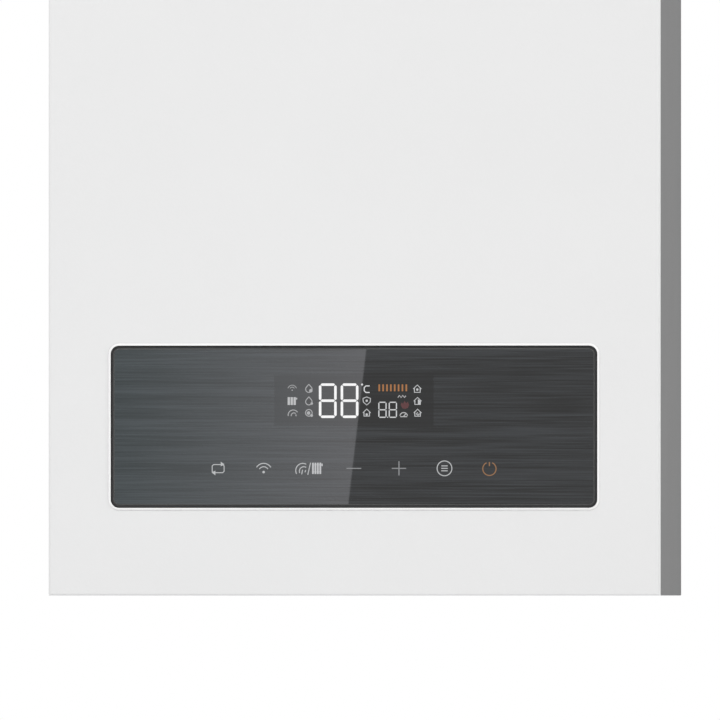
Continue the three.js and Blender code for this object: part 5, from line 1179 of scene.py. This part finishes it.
# ---- Pump and air vent ----
# A cast-iron volute with the return connection, a canned motor bolted to its front by four
# screws, and a brass vent that lets air out on top.
cast_iron = finished("cast iron", "cast_iron", cast_effect, (0.03, 0.032, 0.034),
    (0.062, 0.064, 0.066), 0.62, 420.0, 0.25, dust=0.18)
pump_axis = (outer_port, 0, 130)
hose_side, hose_depth, hose_radius = 150, -62.8, 6.6
vent_side, vent_depth = 112, -113
flange_nut(outer_port, row_depth, wide_nut, 4, 0.5)
block((78, 129), *arm_reach)
rod(9, (hose_side, hose_depth, 130), (hose_side, hose_depth, 185))
rod(8, (vent_side, vent_depth, 130), (vent_side, vent_depth, 178))
soften(0.8, 2)
turned([(36, -125), (44, -125), (45, -124), (45, -116), (43, -113.5), (43, -108), (45, -104),
    (45, -66), (42, -56), (34, -49.4), (26, -48), (0, -48), (0, -101), (36, -101)], pump_axis, "Y",
    steps=64, closed=True)
threaded_end(outer_port, wide_end, wide_bore, 36, (wide_end, 84), (16, 90), (16, 130), (12, 150),
    (12, 197), (13, 197.6), (13, 199.2), (12, 200), (0, 200))
made("pump_body", cast_iron, "pump_housing")
grey_plastic = finished("grey moulding", "grey_plastic", moulded_effect, (0.085, 0.088, 0.092),
    (0.105, 0.108, 0.112), 0.5, 1200.0, 0.015, dust=0.12)
motor_ribs = [pair for i in range(9) for pair in ((42, -140 - 5 * i), (42, -142 - 5 * i),
    (40, -142.6 - 5 * i), (40, -144.4 - 5 * i))]
turned([(6.3, -125.3), (41, -125.3), (42, -126.3), (42, -134), (40, -135), *motor_ribs, (42, -185),
    (42, -190), (39, -196), (33, -200), (14, -202), (12, -205.3), (0, -205.3), (0, -188),
    (6.3, -188)], pump_axis, "Y", steps=64, closed=True)
made("pump_can", grey_plastic, "pump_motor", edge=0.25)
for turn in diagonals:
    x, z = pump_axis[0] + 36 * cos(turn), pump_axis[2] + 36 * sin(turn)
    rod(2.6, (x, -203, z), (x, -190, z), sides=6)
made("pump_bolts", steel_screw, edge=0.3)
turned([(0, -184), (5.4, -184), (6, -183.4), (6, -122), (32.2, -122), (33, -121.3), (33, -119.7),
    (32.2, -119), (9.4, -119), (8.4, -118), (8.4, -107), (7.6, -106), (0, -106)], pump_axis, "Y",
    steps=72)
blades(6, pump_axis, "Y", [(7.4 + 23.8 * i / 12, -0.8 * (i / 12) ** 1.3) for i in range(13)], 2.6,
    -119.6, -106.4)
made("pump_impeller", polished, "pump_rotor", body="pump_rotor")
turned([(0, 178.3), (8, 178.3), (9, 179.4), (9, 184), (12, 186), (12, 209), (10, 213), (5, 214.3),
    (3, 214.8), (3, 220.3), (6.2, 220.3), (7, 221), (7, 223), (6.4, 223.4), (6.4, 224.4),
    (7, 224.8), (7, 228.4), (6.2, 229.3), (2, 229.3), (1.6, 228.4), (0, 228.4)],
    (vent_side, vent_depth, 0), "Z", steps=40)
made("vent_body", brass, "air_vent", edge=0.25)

# ---- Cold inlet with the flow sensor, and the hot water pipe ----
# A brass body with a small turbine wheel in its bore counts the cold water. The hot water leaves
# through a copper pipe beside it.
flange_nut(inner_port, row_depth, narrow_nut, 4, 0.5)
threaded_end(inner_port, narrow_end, narrow_bore, 102, (narrow_end, 58), (13, 59), (16, 61),
    (16, 70), (15.2, 70.8), (15.2, 80), (16, 80.8), (16, 118), (13, 122), (8, 122.6), (8, 186),
    (9.4, 187), (9.4, 189), (8, 189.7), (0, 189.7))
made("flow_sensor_body", brass, "flow_sensor")
turbine_axis = (inner_port, row_depth, 0)
turned([(0, 83), (1.4, 83.1), (2.5, 84.2), (2.5, 97.8), (1.4, 98.9), (0, 99)], turbine_axis, "Z",
    steps=32)
blades(5, turbine_axis, "Z", [(1.8, 0), (4.2, 0), (6.6, 0)], 1.2, 84.4, 97.6, twist=radians(50),
    steps=10)
made("turbine_wheel", white_plastic, "flow_turbine", body="flow_turbine")
flange_nut(-inner_port, row_depth, narrow_nut, 4, 0.5)
threaded_end(-inner_port, narrow_end, narrow_bore, 36, (narrow_end, 57), (8.6, 60), (8, 61),
    (8, 186), (9.4, 187), (9.4, 189), (8, 189.7), (0, 189.7))
made("hot_pipe", copper, "hot_water_pipe")

# ---- Flow pipe and return pipe ----
# Copper pipes, each bent from one length, join the heat exchanger to the flow group and to the
# pump. A ring at the lower end of each rests on its port.
for side, name in ((-1, "flow"), (1, "return")):
    pipe([(side * 135.3, flue_depth, 520.6), (side * 155, flue_depth, 520.6),
        (side * 155, flue_depth, 290), (side * outer_port, row_depth, 250),
        (side * outer_port, row_depth, 200.3)], 9, 18, sides=32)
    turned([(9, 201), (11.4, 201), (11.6, 202), (11.6, 208), (10, 209.4), (9, 209.6)],
        (side * outer_port, row_depth, 0), "Z", steps=32, closed=True)
    made(f"copper_{name}", copper, f"{name}_pipe")

# ---- Gas valve and gas pipe ----
# A die-cast aluminium valve with a black coil pushed over the core on its front. A coated steel
# pipe rises from its hexagon nut to the burner's gas rail.
coil_height = 92
outlet_depth = -145
block((-32, 32), (-165, -65), (66, 118))
block((-27, 27), (-158, -72), (62.6, 121.3))
for x in (-22, 22):
    for y in (-150, -80):
        rod(6, (x, y, 62), (x, y, 122), sides=24)
nut(0, row_depth, wide_nut, plate_top, plate_top + 4)
rod(11, (0, outlet_depth, 118), (0, outlet_depth, 132))
rod(12, (0, -168, coil_height), (0, -161, coil_height), sides=40)
rod(7.6, (0, -197.6, coil_height), (0, -166, coil_height), sides=24)
soften(0.9, 3)
threaded_end(0, wide_end, wide_bore, 36, (wide_end, 64), (0, 66))
made("gas_valve_body", aluminium, "gas_valve")
turned([(8, -199.0), (13.2, -199.0), (14.0, -198.2), (14.0, -172), (13, -171.4), (13, -168.3),
    (8, -168.3)], (0, 0, coil_height), "Y", closed=True)
block((-7, 7), (-192, -177), (104.5, 113))
for x in (-4.5, 0, 4.5):
    block((x - 1, x + 1), (-190.5, -178.5), (112.5, 116))
made("gas_valve_coil", black_plastic)
gas_steel = finished("coated gas pipe", "steel", cast_effect, (0.5, 0.46, 0.3), (0.6, 0.56, 0.38),
    0.36, 240.0, 0.02, dust=0.08, Metallic=1.0)
pipe([(0, outlet_depth, 132.3), (0, outlet_depth, 285), (0, -261.3, 285), (0, -261.3, 356.0)], 8,
    18, sides=32)
nut(0, outlet_depth, 11, 132.6, 142)
made("gas_line", gas_steel, "gas_pipe", edge=0.3)

# ---- Expansion vessel and its hose ----
# A flat red drum of pressed steel, seamed round its middle, takes up the water that swells when
# it is heated. A rubber hose joins it to the pump.
red_paint = finished("red enamel", "red_paint", peel_effect, (0.4, 0.026, 0.02),
    (0.34, 0.02, 0.016), 0.3, 480.0, 0.04, dust=0.2, Coat_Weight=0.4)
turned([(0, -105.3), (60, -105.3), (64, -104.3), (96, -104.3), (100, -105.3), (128, -105.2),
    (144, -101.5), (154, -93), (158, -82), (158.6, -68), (160, -67), (160, -58.6), (158.6, -57.6),
    (158, -44), (154, -33), (144, -24), (128, -20.4), (0, -20.3)], (0, 0, 450), "Y", steps=96)
turned([(0, 294), (8, 294), (8, 286), (6.4, 284), (0, 284)], (0, hose_depth, 0), "Z", steps=24)
made("vessel_drum", red_paint, "expansion_vessel")
pipe([(0, hose_depth, 283.7), (0, hose_depth, 271.7), (hose_side, hose_depth, 271.7),
    (hose_side, hose_depth, 185.3)], hose_radius, 9, sides=28)
for x, low, high in ((0, 277.5, 283), (hose_side, 187, 193)):
    turned([(hose_radius, low), (7, low), (7, high), (hose_radius, high)], (x, hose_depth, 0), "Z",
        steps=28, closed=True)
made("vessel_line", rubber, "vessel_hose")

# ---- Fill valve, its knob and the cable gland ----
# The blue knob under the plate opens the fill valve. The black gland beside it, with a nut above
# and below the plate, is where a mains lead enters.
fill_axis = (97.5, -150, 0)
flange_nut(*fill_axis[:2], 13, 14, 0.8)
turned([(0, 62.2), (8, 62.2), (8, 34), (7.2, 33), (4, 33), (4, 20.6), (3.4, 20), (0, 20)],
    fill_axis, "Z", steps=32)
made("fill_valve_body", brass, "fill_valve")
blue_plastic = finished("blue moulding", "blue_plastic", moulded_effect, (0.022, 0.1, 0.29),
    (0.018, 0.085, 0.25), 0.36, 1300.0, 0.01, dust=0.06)
fluted_knob(13, fill_axis, "Z", 32.7, 14, 4.3, 19.7)
made("fill_grip", blue_plastic, "fill_knob", body="fill_knob")
gland_axis = (-97.5, -200, 0)
nut(*gland_axis[:2], 12, 36, 46.2)
nut(*gland_axis[:2], 12, plate_top, plate_top + 5)
soften(0.7, 2)
turned([(4, 30), (7, 30), (9.4, 31.6), (10.8, 34), (10.8, 37), (8, 37), (8, 53.3), (4, 53.3)],
    gland_axis, "Z", steps=32, closed=True)
made("lead_gland", black_plastic, "cable_gland")
